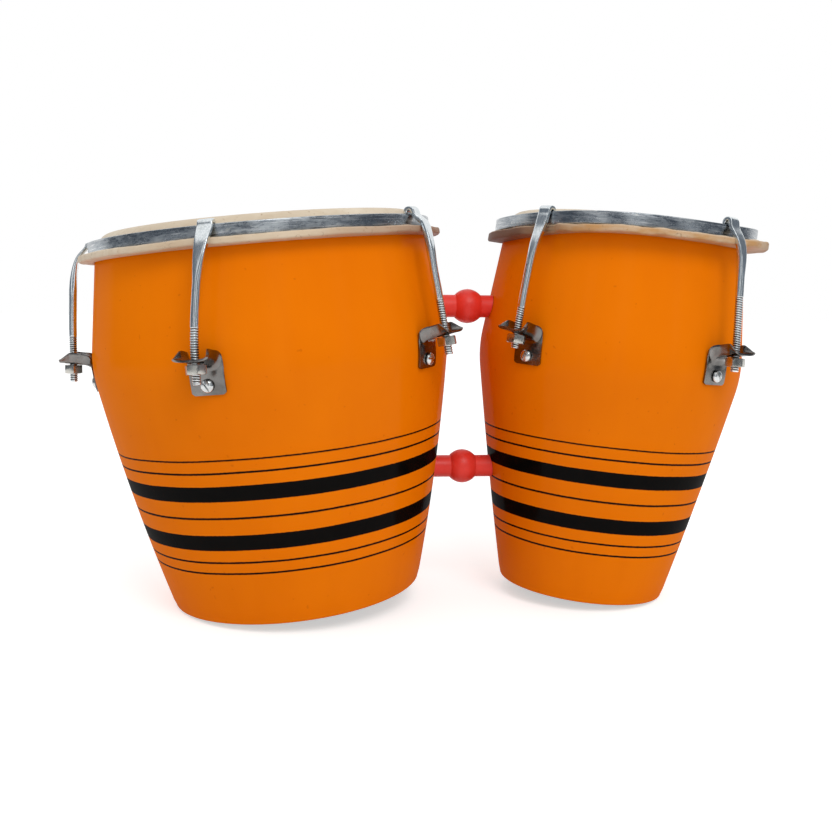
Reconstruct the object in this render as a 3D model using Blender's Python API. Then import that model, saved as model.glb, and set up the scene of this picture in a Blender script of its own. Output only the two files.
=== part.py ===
"""A pair of bongos: two turned wooden shells of unlike size, held together by two ball spacers.

Each drum is modelled upright in its own frame, with its base centre at the origin and its axis along Z,
and an empty then leans it outwards. A rawhide head is lapped round a flat flesh hoop, a steel rim hoop
sits on that, and claw hooks pull the rim hoop down with nuts under sheet brackets on the shoulder.
Sizes are in metres and degrees."""

import math
from dataclasses import dataclass

import bmesh
import bpy
from mathutils import Matrix, Vector

# Clearances
SEAT_GAP = 0.0003
HOLE_CLEARANCE = 0.0004
SEAT_MARGIN = 0.0008

# Stance of the pair
BASE_SPACING = 0.1954
LARGE_LEAN = 5.71
SMALL_LEAN = 5.43

# Large shell
LARGE_SIDES = 40
LARGE_HEIGHT = 0.2388
LARGE_BASE_RADIUS = 0.0811
LARGE_SHOULDER_RADIUS = 0.1148
LARGE_SHOULDER_HEIGHT = 0.1597
LARGE_FLANK_BULGE = 0.00245
LARGE_UPPER_TAPER = 0.153
LARGE_WALL = 0.011

# Small shell
SMALL_SIDES = 36
SMALL_HEIGHT = 0.2468
SMALL_BASE_RADIUS = 0.0558
SMALL_SHOULDER_RADIUS = 0.0884
SMALL_SHOULDER_HEIGHT = 0.1558
SMALL_FLANK_BULGE = 0.0009
SMALL_UPPER_TAPER = 0.115
SMALL_WALL = 0.010

# Form of both shells
SHOULDER_SOFTNESS = 0.0038
SHOULDER_REACH = 0.012
FLANK_STEPS = 6
UPPER_STEPS = 3
RINGS_PER_INNER_RING = 3
BEARING_EDGE_DROP = 0.013
BEARING_EDGE_INSET = 0.0071
BEARING_EDGE_ROUNDNESS = 1.6
BEARING_EDGE_STEPS = 3
INNER_EDGE_DROP = 0.003
BASE_CHAMFER = 0.0015
SLOPE_STEP = 0.001
SETTLING_ROUNDS = 20

# Heads and flesh hoops, each hoop by its drop below the shell's crest
SKIN_THICKNESS = 0.001
SKIN_LAP_START = 0.0006
FLESH_HOOP_THICKNESS = 0.0015
LARGE_FLESH_HOOP_DROP = 0.0136
LARGE_FLESH_HOOP_WIDTH = 0.007
LARGE_FLESH_HOOP_TILT = 6.0
SMALL_FLESH_HOOP_DROP = 0.0109
SMALL_FLESH_HOOP_WIDTH = 0.0095
SMALL_FLESH_HOOP_TILT = 18.0

# Rim hoops, by how far they stand out from the shell at the flesh hoop
RIM_THICKNESS = 0.002
RIM_CHAMFER = 0.0004
LARGE_RIM_OVERHANG = 0.00322
LARGE_RIM_HEIGHT = 0.0076
SMALL_RIM_OVERHANG = 0.00681
SMALL_RIM_HEIGHT = 0.0058

# Lugs, by their azimuths and by where the rod crosses the bracket's tongue,
# measured out from the shell and up from its shoulder. A claw turn is how far
# the hook's top stands round the drum from its lug
LARGE_LUG_AZIMUTHS = (180.0, 252.0, 324.0, 36.0, 108.0)
LARGE_LUG_OVERHANG = 0.01371
LARGE_LUG_RISE = 0.003
LARGE_ROD_SLANT = 6.0
LARGE_ROD_END = 0.0055
LARGE_CLAW_TURNS = (0.0, 3.4, 4.3, 0.0, 0.0)
SMALL_LUG_AZIMUTHS = (218.3, 300.4, 38.3, 120.4)
SMALL_LUG_OVERHANG = 0.01395
SMALL_LUG_RISE = 0.0135
SMALL_ROD_SLANT = 4.6
SMALL_ROD_END = 0.003
SMALL_CLAW_TURNS = (0.0, -0.9, 0.0, 0.0)

# Claw hooks
ROD_DIAMETER = 0.0049
BLADE_WIDTH = 0.010
BLADE_THICKNESS = 0.0019
LIP_THICKNESS = 0.0014
LIP_DEPTH = 0.0038
CLAW_ROOM = 0.0024
COLLAR_ROOM = 0.0004
NECK_WIDTH = 0.008
NECK_THICKNESS = 0.0025
KNEE_WIDTH = 0.0072
KNEE_THICKNESS = 0.003
SHANK_WIDTH = 0.0068
SHANK_THICKNESS = 0.0032
ROUND_BELOW_KNEE = 0.018
KNEE_SOFTNESS = 0.006
KNEE_STEPS = 2
UPRIGHT_ABOVE_LUG = 0.014
HOOK_SECTION_POINTS = 8
BLADE_BOXINESS = 6
NECK_BOXINESS = 4
SHANK_BOXINESS = 3
ROUND_BOXINESS = 2

# Tuning nuts
NUT_ACROSS_FLATS = 0.0104
NUT_HEIGHT = 0.0052
NUT_BORE_CLEARANCE = 0.0005

# Lug brackets
BRACKET_THICKNESS = 0.0013
BRACKET_WIDTH = 0.020
BRACKET_TILT = 11.0
BRACKET_FRONT = 0.007
BRACKET_ARCH_REACH = 0.006
BRACKET_ARCH_DROP = 0.0072
BRACKET_ARCH_STEPS = 3
BRACKET_WING_HEIGHT = 0.0068
BRACKET_REAR_WING_HEIGHT = 0.0082
BRACKET_MIDDLE_WING_HEIGHT = 0.0042
BRACKET_FRONT_WING_HEIGHT = 0.0014
BRACKET_WAIST_WIDTH = 0.0156
BRACKET_MIDDLE_WIDTH = 0.0176
BRACKET_FRONT_WIDTH = 0.0196
BRACKET_WING_BEND = 0.0012
BRACKET_WING_BEND_SHARE = 0.3
BRACKET_FLAT_WIDTH = 0.0088
BRACKET_CORNER = 0.0015
BRACKET_HOLE_CLEARANCE = 0.0009
SCREW_DROP = 0.0139
PLATE_BELOW_SCREW = 0.0055

# Bracket screws
SCREW_HEAD_DIAMETER = 0.0076
SCREW_HEAD_HEIGHT = 0.0026
SCREW_SHANK_DIAMETER = 0.004
SCREW_SHANK_LENGTH = 0.0085
SCREW_SLOT_WIDTH = 0.0009
SCREW_SLOT_DEPTH = 0.0011
SCREW_SLOT_LENGTH = 0.009
SCREW_HEAD_EDGE = 0.00065

# Spacers and the tie bolts through them
UPPER_SPACER_HEIGHT = 0.1959
LOWER_SPACER_HEIGHT = 0.0878
UPPER_BALL_SHIFT = 0.0014
LOWER_BALL_SHIFT = 0.0
SPACER_BALL_DIAMETER = 0.0227
SPACER_COLLAR_DIAMETER = 0.0148
SPACER_BALL_STEPS = 8
TIE_BOLT_DIAMETER = 0.006
TIE_HEAD_ACROSS_FLATS = 0.010
TIE_HEAD_HEIGHT = 0.004
TIE_NUT_HEIGHT = 0.005
TIE_BOLT_END = 0.003
WASHER_DIAMETER = 0.016
WASHER_THICKNESS = 0.0012
SPOT_FACE_WALL = 0.0064
TIE_DRILL_REACH = 0.022

# Faceting
SHARP_ANGLE = 35.0
WELD_DISTANCE = 1e-7
ROUND_SIDES = 16
SCREW_SIDES = 12
HEAD_SIDES = 10


@dataclass(frozen=True)
class Drum:
    name: str
    sides: int
    centre_x: float
    lean: float
    height: float
    base_radius: float
    shoulder_radius: float
    shoulder_height: float
    flank_bulge: float
    upper_taper: float
    wall: float
    flesh_drop: float
    flesh_width: float
    flesh_tilt: float
    rim_overhang: float
    rim_height: float
    lug_azimuths: tuple
    lug_overhang: float
    lug_rise: float
    rod_slant: float
    rod_end: float
    claw_turns: tuple

    @property
    def flesh_height(self):
        return self.height - self.flesh_drop

    @property
    def rim_radius(self):
        return flank_radius(self, self.flesh_height) + self.rim_overhang

    @property
    def lug_height(self):
        return self.shoulder_height + self.lug_rise

    @property
    def lug_radius(self):
        return flank_radius(self, self.lug_height) + self.lug_overhang


LARGE = Drum(
    name="large",
    sides=LARGE_SIDES,
    centre_x=-BASE_SPACING / 2,
    lean=-math.radians(LARGE_LEAN),
    height=LARGE_HEIGHT,
    base_radius=LARGE_BASE_RADIUS,
    shoulder_radius=LARGE_SHOULDER_RADIUS,
    shoulder_height=LARGE_SHOULDER_HEIGHT,
    flank_bulge=LARGE_FLANK_BULGE,
    upper_taper=LARGE_UPPER_TAPER,
    wall=LARGE_WALL,
    flesh_drop=LARGE_FLESH_HOOP_DROP,
    flesh_width=LARGE_FLESH_HOOP_WIDTH,
    flesh_tilt=math.radians(LARGE_FLESH_HOOP_TILT),
    rim_overhang=LARGE_RIM_OVERHANG,
    rim_height=LARGE_RIM_HEIGHT,
    lug_azimuths=LARGE_LUG_AZIMUTHS,
    lug_overhang=LARGE_LUG_OVERHANG,
    lug_rise=LARGE_LUG_RISE,
    rod_slant=math.radians(LARGE_ROD_SLANT),
    rod_end=LARGE_ROD_END,
    claw_turns=LARGE_CLAW_TURNS,
)

SMALL = Drum(
    name="small",
    sides=SMALL_SIDES,
    centre_x=BASE_SPACING / 2,
    lean=math.radians(SMALL_LEAN),
    height=SMALL_HEIGHT,
    base_radius=SMALL_BASE_RADIUS,
    shoulder_radius=SMALL_SHOULDER_RADIUS,
    shoulder_height=SMALL_SHOULDER_HEIGHT,
    flank_bulge=SMALL_FLANK_BULGE,
    upper_taper=SMALL_UPPER_TAPER,
    wall=SMALL_WALL,
    flesh_drop=SMALL_FLESH_HOOP_DROP,
    flesh_width=SMALL_FLESH_HOOP_WIDTH,
    flesh_tilt=math.radians(SMALL_FLESH_HOOP_TILT),
    rim_overhang=SMALL_RIM_OVERHANG,
    rim_height=SMALL_RIM_HEIGHT,
    lug_azimuths=SMALL_LUG_AZIMUTHS,
    lug_overhang=SMALL_LUG_OVERHANG,
    lug_rise=SMALL_LUG_RISE,
    rod_slant=math.radians(SMALL_ROD_SLANT),
    rod_end=SMALL_ROD_END,
    claw_turns=SMALL_CLAW_TURNS,
)


# Building blocks


def finish(name, colour, roughness, metallic):
    """A plain surface of one colour."""
    material = bpy.data.materials.new(name)
    material.use_nodes = True
    shader = material.node_tree.nodes["Principled BSDF"]
    shader.inputs["Base Color"].default_value = (*colour, 1.0)
    shader.inputs["Roughness"].default_value = roughness
    shader.inputs["Metallic"].default_value = metallic
    material.diffuse_color = (*colour, 1.0)
    return material


def mesh_from(name, bm):
    """The finished mesh, welded, facing outwards and smooth between its sharp edges."""
    bmesh.ops.remove_doubles(bm, verts=bm.verts, dist=WELD_DISTANCE)
    bmesh.ops.recalc_face_normals(bm, faces=bm.faces)
    mesh = bpy.data.meshes.new(name)
    bm.to_mesh(mesh)
    bm.free()
    mesh.shade_smooth()
    mesh.set_sharp_from_angle(angle=math.radians(SHARP_ANGLE))
    return mesh


def turned(name, outline, sides):
    """A solid turned about Z from an outline of (radius, height) points, with a flat at azimuth 0."""
    bm = bmesh.new()
    start = Matrix.Rotation(math.pi / sides, 4, "Z")
    points = [bm.verts.new(start @ Vector((radius, 0, height))) for radius, height in outline]
    on_axis = [radius == 0 for radius, height in outline]
    edges = []
    for i in range(len(points)):
        j = (i + 1) % len(points)
        if not (on_axis[i] and on_axis[j]):
            edges.append(bm.edges.new((points[i], points[j])))
    bmesh.ops.spin(
        bm,
        geom=points + edges,
        cent=(0, 0, 0),
        axis=(0, 0, 1),
        angle=2 * math.pi,
        steps=sides,
        use_merge=True,
    )
    return mesh_from(name, bm)


def lofted(name, rings, closed=False):
    """A solid through rings of points. Its ends are flat, or the last ring joins the first."""
    bm = bmesh.new()
    loops = [[bm.verts.new(point) for point in ring] for ring in rings]
    pairs = list(zip(loops, loops[1:]))
    if closed:
        pairs.append((loops[-1], loops[0]))
    else:
        bm.faces.new(loops[0])
        bm.faces.new(loops[-1])
    for lower, upper in pairs:
        for i in range(len(lower)):
            j = (i + 1) % len(lower)
            bm.faces.new((lower[i], lower[j], upper[j], upper[i]))
    return mesh_from(name, bm)


def ring(radius, height, sides=SCREW_SIDES):
    """A round ring of points about Z."""
    turns = [2 * math.pi * i / sides for i in range(sides)]
    return [Vector((radius * math.cos(a), radius * math.sin(a), height)) for a in turns]


def hexagon(across_flats, height):
    """A hexagonal ring of points about Z, as many as a round ring has."""
    corner = across_flats / 2 / math.cos(math.pi / 6)
    points = ring(corner, height)
    for i in range(1, SCREW_SIDES, 2):
        points[i].xy *= math.cos(math.pi / 6)
    return points


def add(name, mesh, material, parent, place=Matrix.Identity(4)):
    """One piece of the object, placed in its parent's frame."""
    piece = bpy.data.objects.new(name, mesh)
    bpy.context.scene.collection.objects.link(piece)
    if not mesh.materials:
        mesh.materials.append(material)
    piece.parent = parent
    piece.matrix_basis = place
    return piece


def add_cutter(name, mesh, parent, place=Matrix.Identity(4)):
    """A shape that is taken away from others and isn't a piece itself."""
    cutter = bpy.data.objects.new(name, mesh)
    bpy.context.scene.collection.objects.link(cutter)
    cutter.hide_render = True
    cutter.display_type = "WIRE"
    cutter.parent = parent
    cutter.matrix_basis = place
    return cutter


def cut(piece, cutter):
    """Takes a cutter's shape out of a piece."""
    hole = piece.modifiers.new(cutter.name, "BOOLEAN")
    hole.operation = "DIFFERENCE"
    hole.solver = "EXACT"
    hole.object = cutter


def frozen(piece):
    """The mesh that a piece's modifiers make."""
    bpy.context.view_layer.update()
    graph = bpy.context.evaluated_depsgraph_get()
    mesh = bpy.data.meshes.new_from_object(piece.evaluated_get(graph))
    mesh.name = piece.name
    return mesh


def offset_line(points, distance):
    """A line moved sideways, to the left of the way it runs."""
    vectors = [Vector(point) for point in points]
    normals = []
    for start, end in zip(vectors, vectors[1:]):
        way = (end - start).normalized()
        normals.append(Vector((-way.y, way.x)))
    moved = []
    for i, point in enumerate(vectors):
        before = normals[max(i - 1, 0)]
        after = normals[min(i, len(normals) - 1)]
        moved.append(point + (before + after) * (distance / (1 + before.dot(after))))
    return [tuple(point) for point in moved]


def bent(start, corner, end, steps):
    """Points inside a curve that leaves start and reaches end along the lines to the corner."""
    start, corner, end = Vector(start), Vector(corner), Vector(end)
    points = []
    for i in range(1, steps):
        t = i / steps
        points.append(start * (1 - t) ** 2 + corner * (2 * t * (1 - t)) + end * t**2)
    return points


# Shell form


def flank_radius(drum, height):
    """Outer radius of the shell: a bulged lower flank, a soft shoulder and a straight upper flank."""
    t = height / drum.shoulder_height
    swell = drum.flank_bulge * 4 * t * (1 - t)
    lower = drum.base_radius + (drum.shoulder_radius - drum.base_radius) * t + swell
    upper = drum.shoulder_radius - drum.upper_taper * (height - drum.shoulder_height)
    share = min(max(0.5 + 0.5 * (upper - lower) / SHOULDER_SOFTNESS, 0), 1)
    return upper + (lower - upper) * share - SHOULDER_SOFTNESS * share * (1 - share)


def flank_slope(drum, height):
    """How fast the outer radius grows with height."""
    above = flank_radius(drum, height + SLOPE_STEP)
    below = flank_radius(drum, height - SLOPE_STEP)
    return (above - below) / (2 * SLOPE_STEP)


def flank_heights(drum):
    """Heights of the flank's rings, closer together at the shoulder."""
    edge = drum.height - BEARING_EDGE_DROP
    low = drum.shoulder_height - SHOULDER_REACH
    high = drum.shoulder_height + SHOULDER_REACH
    heights = [BASE_CHAMFER + (low - BASE_CHAMFER) * i / FLANK_STEPS for i in range(FLANK_STEPS)]
    heights += [low + (high - low) * i / UPPER_STEPS for i in range(UPPER_STEPS)]
    heights += [high + (edge - high) * i / UPPER_STEPS for i in range(UPPER_STEPS)]
    return heights


def bearing_edge(drum):
    """The outer rounding at the top, from the flank up to the crest that the skin lies on."""
    power = 2 / BEARING_EDGE_ROUNDNESS
    points = []
    for i in range(BEARING_EDGE_STEPS + 1):
        turn = math.pi / 2 * i / BEARING_EDGE_STEPS
        drop = BEARING_EDGE_DROP * (1 - math.sin(turn) ** power)
        inset = BEARING_EDGE_INSET * (1 - max(math.cos(turn), 0) ** power)
        height = drum.height - drop
        points.append((flank_radius(drum, height) - inset, height))
    return points


def outer_line(drum):
    """The shell's outside, from the base up to the crest."""
    base = [(drum.base_radius - BASE_CHAMFER, 0)]
    return base + [(flank_radius(drum, h), h) for h in flank_heights(drum)] + bearing_edge(drum)


def inner_line(drum):
    """The shell's inside, from the crest down to the base."""
    heights = flank_heights(drum)[::-RINGS_PER_INNER_RING]
    top = drum.height - INNER_EDGE_DROP
    wall = [(flank_radius(drum, h) - drum.wall, h) for h in [top] + heights]
    base = (drum.base_radius - drum.wall, 0)
    return wall + [base]


def drum_empty(drum, assembly):
    """The drum's frame: its base centre, leaning so that the base's outer edge is on the ground."""
    flat = drum.base_radius - BASE_CHAMFER
    touch = flat * math.cos(math.pi / drum.sides) * abs(math.sin(drum.lean))
    empty = bpy.data.objects.new(drum.name + "_drum", None)
    bpy.context.scene.collection.objects.link(empty)
    empty.parent = assembly
    empty.location = (drum.centre_x, 0, touch)
    empty.rotation_euler = (0, drum.lean, 0)
    return empty


def wall_point(drum, empty, height):
    """Where the outer wall that faces the other drum meets a level line at this world height."""
    facing = -math.copysign(1, drum.centre_x)
    along = height
    for _ in range(SETTLING_ROUNDS):
        radius = flank_radius(drum, along)
        rise = facing * radius * math.sin(drum.lean)
        along = (height - empty.location.z + rise) / math.cos(drum.lean)
    radius = flank_radius(drum, along) * math.cos(math.pi / drum.sides)
    reach = along * math.sin(drum.lean) + facing * radius * math.cos(drum.lean)
    return drum.centre_x + reach


# Heads and hoops


def flesh_inner_radius(drum):
    """The flesh hoop clears the skin that comes down the flank."""
    return flank_radius(drum, drum.flesh_height) + SEAT_GAP + SKIN_THICKNESS + SEAT_GAP


def collar_point(drum, along, above):
    """A point of the tilted collar, from the flesh hoop's inner lower corner."""
    sine, cosine = math.sin(drum.flesh_tilt), math.cos(drum.flesh_tilt)
    radius = flesh_inner_radius(drum) + along * cosine - above * sine
    return radius, drum.flesh_height + along * sine + above * cosine


def flesh_hoop_mesh(drum):
    """A flat steel ring, tilted like a shallow dish."""
    corners = [
        collar_point(drum, 0, 0),
        collar_point(drum, drum.flesh_width, 0),
        collar_point(drum, drum.flesh_width, FLESH_HOOP_THICKNESS),
        collar_point(drum, 0, FLESH_HOOP_THICKNESS),
    ]
    return turned(drum.name + "_flesh_hoop", corners, drum.sides)


def skin_mesh(drum):
    """Rawhide over the bearing edge, down the flank and lapped outwards round the flesh hoop."""
    cover = SEAT_GAP + SKIN_THICKNESS / 2
    corner = cover * math.tan(math.pi / 8)
    edge = bearing_edge(drum)[::-1]
    over_edge = [(0, drum.height + cover)] + offset_line(edge, cover)
    round_hoop = [
        collar_point(drum, -cover, -cover),
        collar_point(drum, drum.flesh_width + corner, -cover),
        collar_point(drum, drum.flesh_width + cover, -corner),
        collar_point(drum, drum.flesh_width + cover, FLESH_HOOP_THICKNESS + corner),
        collar_point(drum, drum.flesh_width + corner, FLESH_HOOP_THICKNESS + cover),
        collar_point(drum, SKIN_LAP_START, FLESH_HOOP_THICKNESS + cover),
    ]
    centre = over_edge + round_hoop
    upper = offset_line(centre, SKIN_THICKNESS / 2)
    lower = offset_line(centre, -SKIN_THICKNESS / 2)
    upper[0] = (0, upper[0][1])
    lower[0] = (0, lower[0][1])
    return turned(drum.name + "_head_skin", upper + lower[::-1], drum.sides)


def rim_seat_height(drum):
    """Height of the skin's lap under the rim hoop's outer edge."""
    above = FLESH_HOOP_THICKNESS + SEAT_GAP + SKIN_THICKNESS
    sine, cosine = math.sin(drum.flesh_tilt), math.cos(drum.flesh_tilt)
    along = (drum.rim_radius - flesh_inner_radius(drum) + above * sine) / cosine
    return collar_point(drum, along, above)[1]


def rim_top(drum):
    return rim_seat_height(drum) + SEAT_GAP + drum.rim_height


def rim_hoop_mesh(drum):
    """A steel band on edge, with its corners broken."""
    outer = drum.rim_radius
    inner = outer - RIM_THICKNESS
    top = rim_top(drum)
    bottom = top - drum.rim_height
    outline = [
        (inner + RIM_CHAMFER, bottom),
        (outer - RIM_CHAMFER, bottom),
        (outer, bottom + RIM_CHAMFER),
        (outer, top - RIM_CHAMFER),
        (outer - RIM_CHAMFER, top),
        (inner + RIM_CHAMFER, top),
        (inner, top - RIM_CHAMFER),
        (inner, bottom + RIM_CHAMFER),
    ]
    return turned(drum.name + "_rim_hoop", outline, drum.sides)


# Lugs, modelled at azimuth 0 with the radius along X and the height along Z


def rod_way(drum):
    """Direction of the rod, upwards, as (radius, height)."""
    return Vector((-math.sin(drum.rod_slant), math.cos(drum.rod_slant)))


def lug_crossing(drum):
    """Where the rod crosses the middle of the bracket's sheet, as (radius, height)."""
    return Vector((drum.lug_radius, drum.lug_height))


def nut_middle(drum):
    """The nut's middle: its inner edge just meets the tilted tongue."""
    reach = NUT_ACROSS_FLATS / 2 / math.cos(math.pi / 6)
    wedge = reach * math.tan(math.radians(BRACKET_TILT) - drum.rod_slant)
    drop = BRACKET_THICKNESS / 2 + wedge + SEAT_GAP + NUT_HEIGHT / 2
    return lug_crossing(drum) - rod_way(drum) * drop


def rod_foot(drum):
    """The rod's lower end, below the nut."""
    return nut_middle(drum) - rod_way(drum) * (NUT_HEIGHT / 2 + drum.rod_end)


def collar_tip(drum):
    """The outermost point of the skin's lap, as (radius, height)."""
    reach = drum.flesh_width + SEAT_GAP + SKIN_THICKNESS
    return Vector(collar_point(drum, reach, FLESH_HOOP_THICKNESS / 2))


def knee_point(drum, claw):
    """Where the neck, which runs from the claw just past the collar, meets the rod's line."""
    clear = NECK_THICKNESS / 2 + FLESH_HOOP_THICKNESS / 2 + COLLAR_ROOM
    to_tip = collar_tip(drum) - claw
    outward = math.atan2(to_tip.x, -to_tip.y) + math.asin(clear / to_tip.length)
    rod = rod_way(drum)
    neck = Vector((math.sin(outward), -math.cos(outward)))
    apart = lug_crossing(drum) - claw
    along = (apart.x * rod.y - apart.y * rod.x) / (neck.x * rod.y - neck.y * rod.x)
    return claw + neck * along


def hook_line(drum):
    """The hook's middle line as (point, width, thickness, boxiness), from the lip to the rod's foot."""
    top = rim_top(drum)
    inner_face = (drum.rim_radius - RIM_THICKNESS) * math.cos(math.pi / drum.sides)
    lip_radius = inner_face - SEAT_GAP - LIP_THICKNESS / 2
    crown = top + SEAT_GAP + BLADE_THICKNESS / 2
    claw_radius = drum.rim_radius + CLAW_ROOM + BLADE_THICKNESS / 2
    claw = Vector((claw_radius, top))
    knee = knee_point(drum, claw)
    neck = (knee - claw).normalized()
    above_knee = knee - neck * KNEE_SOFTNESS
    below_knee = knee - rod_way(drum) * KNEE_SOFTNESS
    round_start = knee - rod_way(drum) * ROUND_BELOW_KNEE
    lip = (BLADE_WIDTH, LIP_THICKNESS, BLADE_BOXINESS)
    blade = (BLADE_WIDTH, BLADE_THICKNESS, BLADE_BOXINESS)
    neck_section = (NECK_WIDTH, NECK_THICKNESS, NECK_BOXINESS)
    knee_section = (KNEE_WIDTH, KNEE_THICKNESS, NECK_BOXINESS)
    shank = (SHANK_WIDTH, SHANK_THICKNESS, SHANK_BOXINESS)
    rod = (ROD_DIAMETER, ROD_DIAMETER, ROUND_BOXINESS)
    line = [
        (Vector((lip_radius, top - LIP_DEPTH)), *lip),
        (Vector((lip_radius, top - RIM_CHAMFER)), *lip),
        (Vector((lip_radius + BLADE_THICKNESS / 2, crown)), *blade),
        (Vector((claw_radius - BLADE_THICKNESS, crown)), *blade),
        (claw, *blade),
        (above_knee, *neck_section),
    ]
    line += [(point, *knee_section) for point in bent(above_knee, knee, below_knee, KNEE_STEPS)]
    line.append((below_knee, *shank))
    line.append((round_start, *rod))
    line.append((lug_crossing(drum) + rod_way(drum) * UPRIGHT_ABOVE_LUG, *rod))
    line.append((rod_foot(drum), *rod))
    return line


def hook_section(point, way, width, thickness, boxiness):
    """A ring of points across the hook: a rounded box for the blade, a circle for the rod."""
    side = Vector((way.y, -way.x))
    count = HOOK_SECTION_POINTS
    points = []
    for i in range(count):
        turn = 2 * math.pi * (i + 0.5) / count
        reach = [math.copysign(abs(f(turn)) ** (2 / boxiness), f(turn)) for f in (math.cos, math.sin)]
        middle = point + side * (reach[1] * thickness / 2)
        points.append(Vector((middle.x, reach[0] * width / 2, middle.y)))
    return points


def hook_mesh(drum, claw_turn):
    """A claw over the rim hoop, a flat blade, a knee and a round rod, wound a little round the drum."""
    line = hook_line(drum)
    upright = drum.lug_height + UPRIGHT_ABOVE_LUG
    rings = []
    for i, (point, width, thickness, boxiness) in enumerate(line):
        before = line[max(i - 1, 0)][0]
        after = line[min(i + 1, len(line) - 1)][0]
        if 0 < i < len(line) - 1:
            way = ((after - point).normalized() + (point - before).normalized()).normalized()
        else:
            way = (after - before).normalized()
        share = min(max((point.y - upright) / (rim_top(drum) - upright), 0), 1)
        turn = Matrix.Rotation(math.radians(claw_turn) * share, 3, "Z")
        rings.append([turn @ corner for corner in hook_section(point, way, width, thickness, boxiness)])
    return lofted(drum.name + "_hook", rings)


def nut_mesh():
    """A hexagonal nut with a plain bore."""
    bore = ROD_DIAMETER / 2 + NUT_BORE_CLEARANCE
    half = NUT_HEIGHT / 2
    rings = [
        hexagon(NUT_ACROSS_FLATS, -half),
        hexagon(NUT_ACROSS_FLATS, half),
        ring(bore, half),
        ring(bore, -half),
    ]
    return lofted("tuning_nut", rings, closed=True)


def screw_height(drum):
    return drum.lug_height - SCREW_DROP


def bracket_line(drum):
    """The sheet's middle line as (point, half width, wing height), from the plate's foot to the front."""
    cover = SEAT_GAP + BRACKET_THICKNESS / 2

    def on_plate(height):
        return Vector((flank_radius(drum, height) + cover, height))

    foot = screw_height(drum) - PLATE_BELOW_SCREW
    head = drum.lug_height - BRACKET_ARCH_DROP
    half = BRACKET_WIDTH / 2
    waist = BRACKET_WAIST_WIDTH / 2
    tilt = math.radians(BRACKET_TILT)
    outward = Vector((math.cos(tilt), math.sin(tilt)))
    crossing = lug_crossing(drum)
    arch_end = crossing - outward * BRACKET_ARCH_REACH
    plate_head = on_plate(head)
    corner = crossing + outward * ((plate_head.x - crossing.x) / outward.x)
    front = crossing + outward * BRACKET_FRONT
    wing = BRACKET_WING_HEIGHT
    rear_wing = BRACKET_REAR_WING_HEIGHT
    line = [
        (on_plate(foot), half - BRACKET_CORNER, 0),
        (on_plate(foot + BRACKET_CORNER), half, 0),
        (on_plate(screw_height(drum)), half, 0),
        (plate_head, half, rear_wing),
    ]
    arch = bent(plate_head, corner, arch_end, BRACKET_ARCH_STEPS)
    for i, point in enumerate(arch, 1):
        share = i / BRACKET_ARCH_STEPS
        line.append((point, half + (waist - half) * share, rear_wing + (wing - rear_wing) * share))
    middle = crossing + outward * (BRACKET_FRONT / 2)
    line.append((arch_end, waist, wing))
    line.append((crossing, waist, wing))
    line.append((middle, BRACKET_MIDDLE_WIDTH / 2, BRACKET_MIDDLE_WING_HEIGHT))
    line.append((front, BRACKET_FRONT_WIDTH / 2, BRACKET_FRONT_WING_HEIGHT))
    return line


def bracket_mesh(drum, workbench):
    """A sheet plate on the shell, arched outwards into a troughed tongue with turned-up sides."""
    bm = bmesh.new()
    rows = []
    for point, half, wing in bracket_line(drum):
        columns = [
            (-half, wing),
            (BRACKET_WING_BEND - half, wing * BRACKET_WING_BEND_SHARE),
            (-BRACKET_FLAT_WIDTH / 2, 0),
            (BRACKET_FLAT_WIDTH / 2, 0),
            (half - BRACKET_WING_BEND, wing * BRACKET_WING_BEND_SHARE),
            (half, wing),
        ]
        rows.append([bm.verts.new((point.x, y, point.y + lift)) for y, lift in columns])
    for low, high in zip(rows, rows[1:]):
        for i in range(len(low) - 1):
            bm.faces.new((low[i], low[i + 1], high[i + 1], high[i]))
    blank = add(drum.name + "_bracket_blank", mesh_from("sheet", bm), FINISHES["bracket"], workbench)
    sheet = blank.modifiers.new("sheet", "SOLIDIFY")
    sheet.thickness = BRACKET_THICKNESS
    sheet.offset = 0
    sheet.use_even_offset = True
    hole = ROD_DIAMETER / 2 + BRACKET_HOLE_CLEARANCE
    reach = BRACKET_WING_HEIGHT
    drill = lofted("rod_drill", [ring(hole, -reach), ring(hole, reach)])
    cut(blank, add_cutter("rod_drill", drill, workbench, rod_place(drum, lug_crossing(drum))))
    hole = SCREW_SHANK_DIAMETER / 2 + HOLE_CLEARANCE
    drill = lofted("screw_drill", [ring(hole, -SCREW_HEAD_HEIGHT), ring(hole, SCREW_HEAD_HEIGHT)])
    cut(blank, add_cutter("screw_drill", drill, workbench, screw_place(drum)))
    return frozen(blank)


def screw_mesh(workbench):
    """A round-head slotted wood screw, its head's underside at height 0."""
    head = SCREW_HEAD_DIAMETER / 2
    shank = SCREW_SHANK_DIAMETER / 2
    tip = -SCREW_SHANK_LENGTH
    outline = [(0, tip), (shank / 2, tip + shank / 2), (shank, tip + shank * 2), (shank, 0), (head, 0)]
    dome = SCREW_HEAD_HEIGHT - SCREW_HEAD_EDGE
    for turn in (0, math.pi / 4):
        outline.append((head * math.cos(turn), SCREW_HEAD_EDGE + dome * math.sin(turn)))
    outline.append((0, SCREW_HEAD_HEIGHT))
    blank = add("screw_blank", turned("screw", outline, HEAD_SIDES), FINISHES["screw"], workbench)
    size = Vector((SCREW_SLOT_WIDTH, SCREW_SLOT_LENGTH, SCREW_SLOT_DEPTH * 2))
    bm = bmesh.new()
    bmesh.ops.create_cube(bm, size=1, matrix=Matrix.Diagonal((*size, 1)))
    slot_place = Matrix.Translation((0, 0, SCREW_HEAD_HEIGHT))
    cut(blank, add_cutter("screw_slot", mesh_from("screw_slot", bm), workbench, slot_place))
    return frozen(blank)


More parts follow.
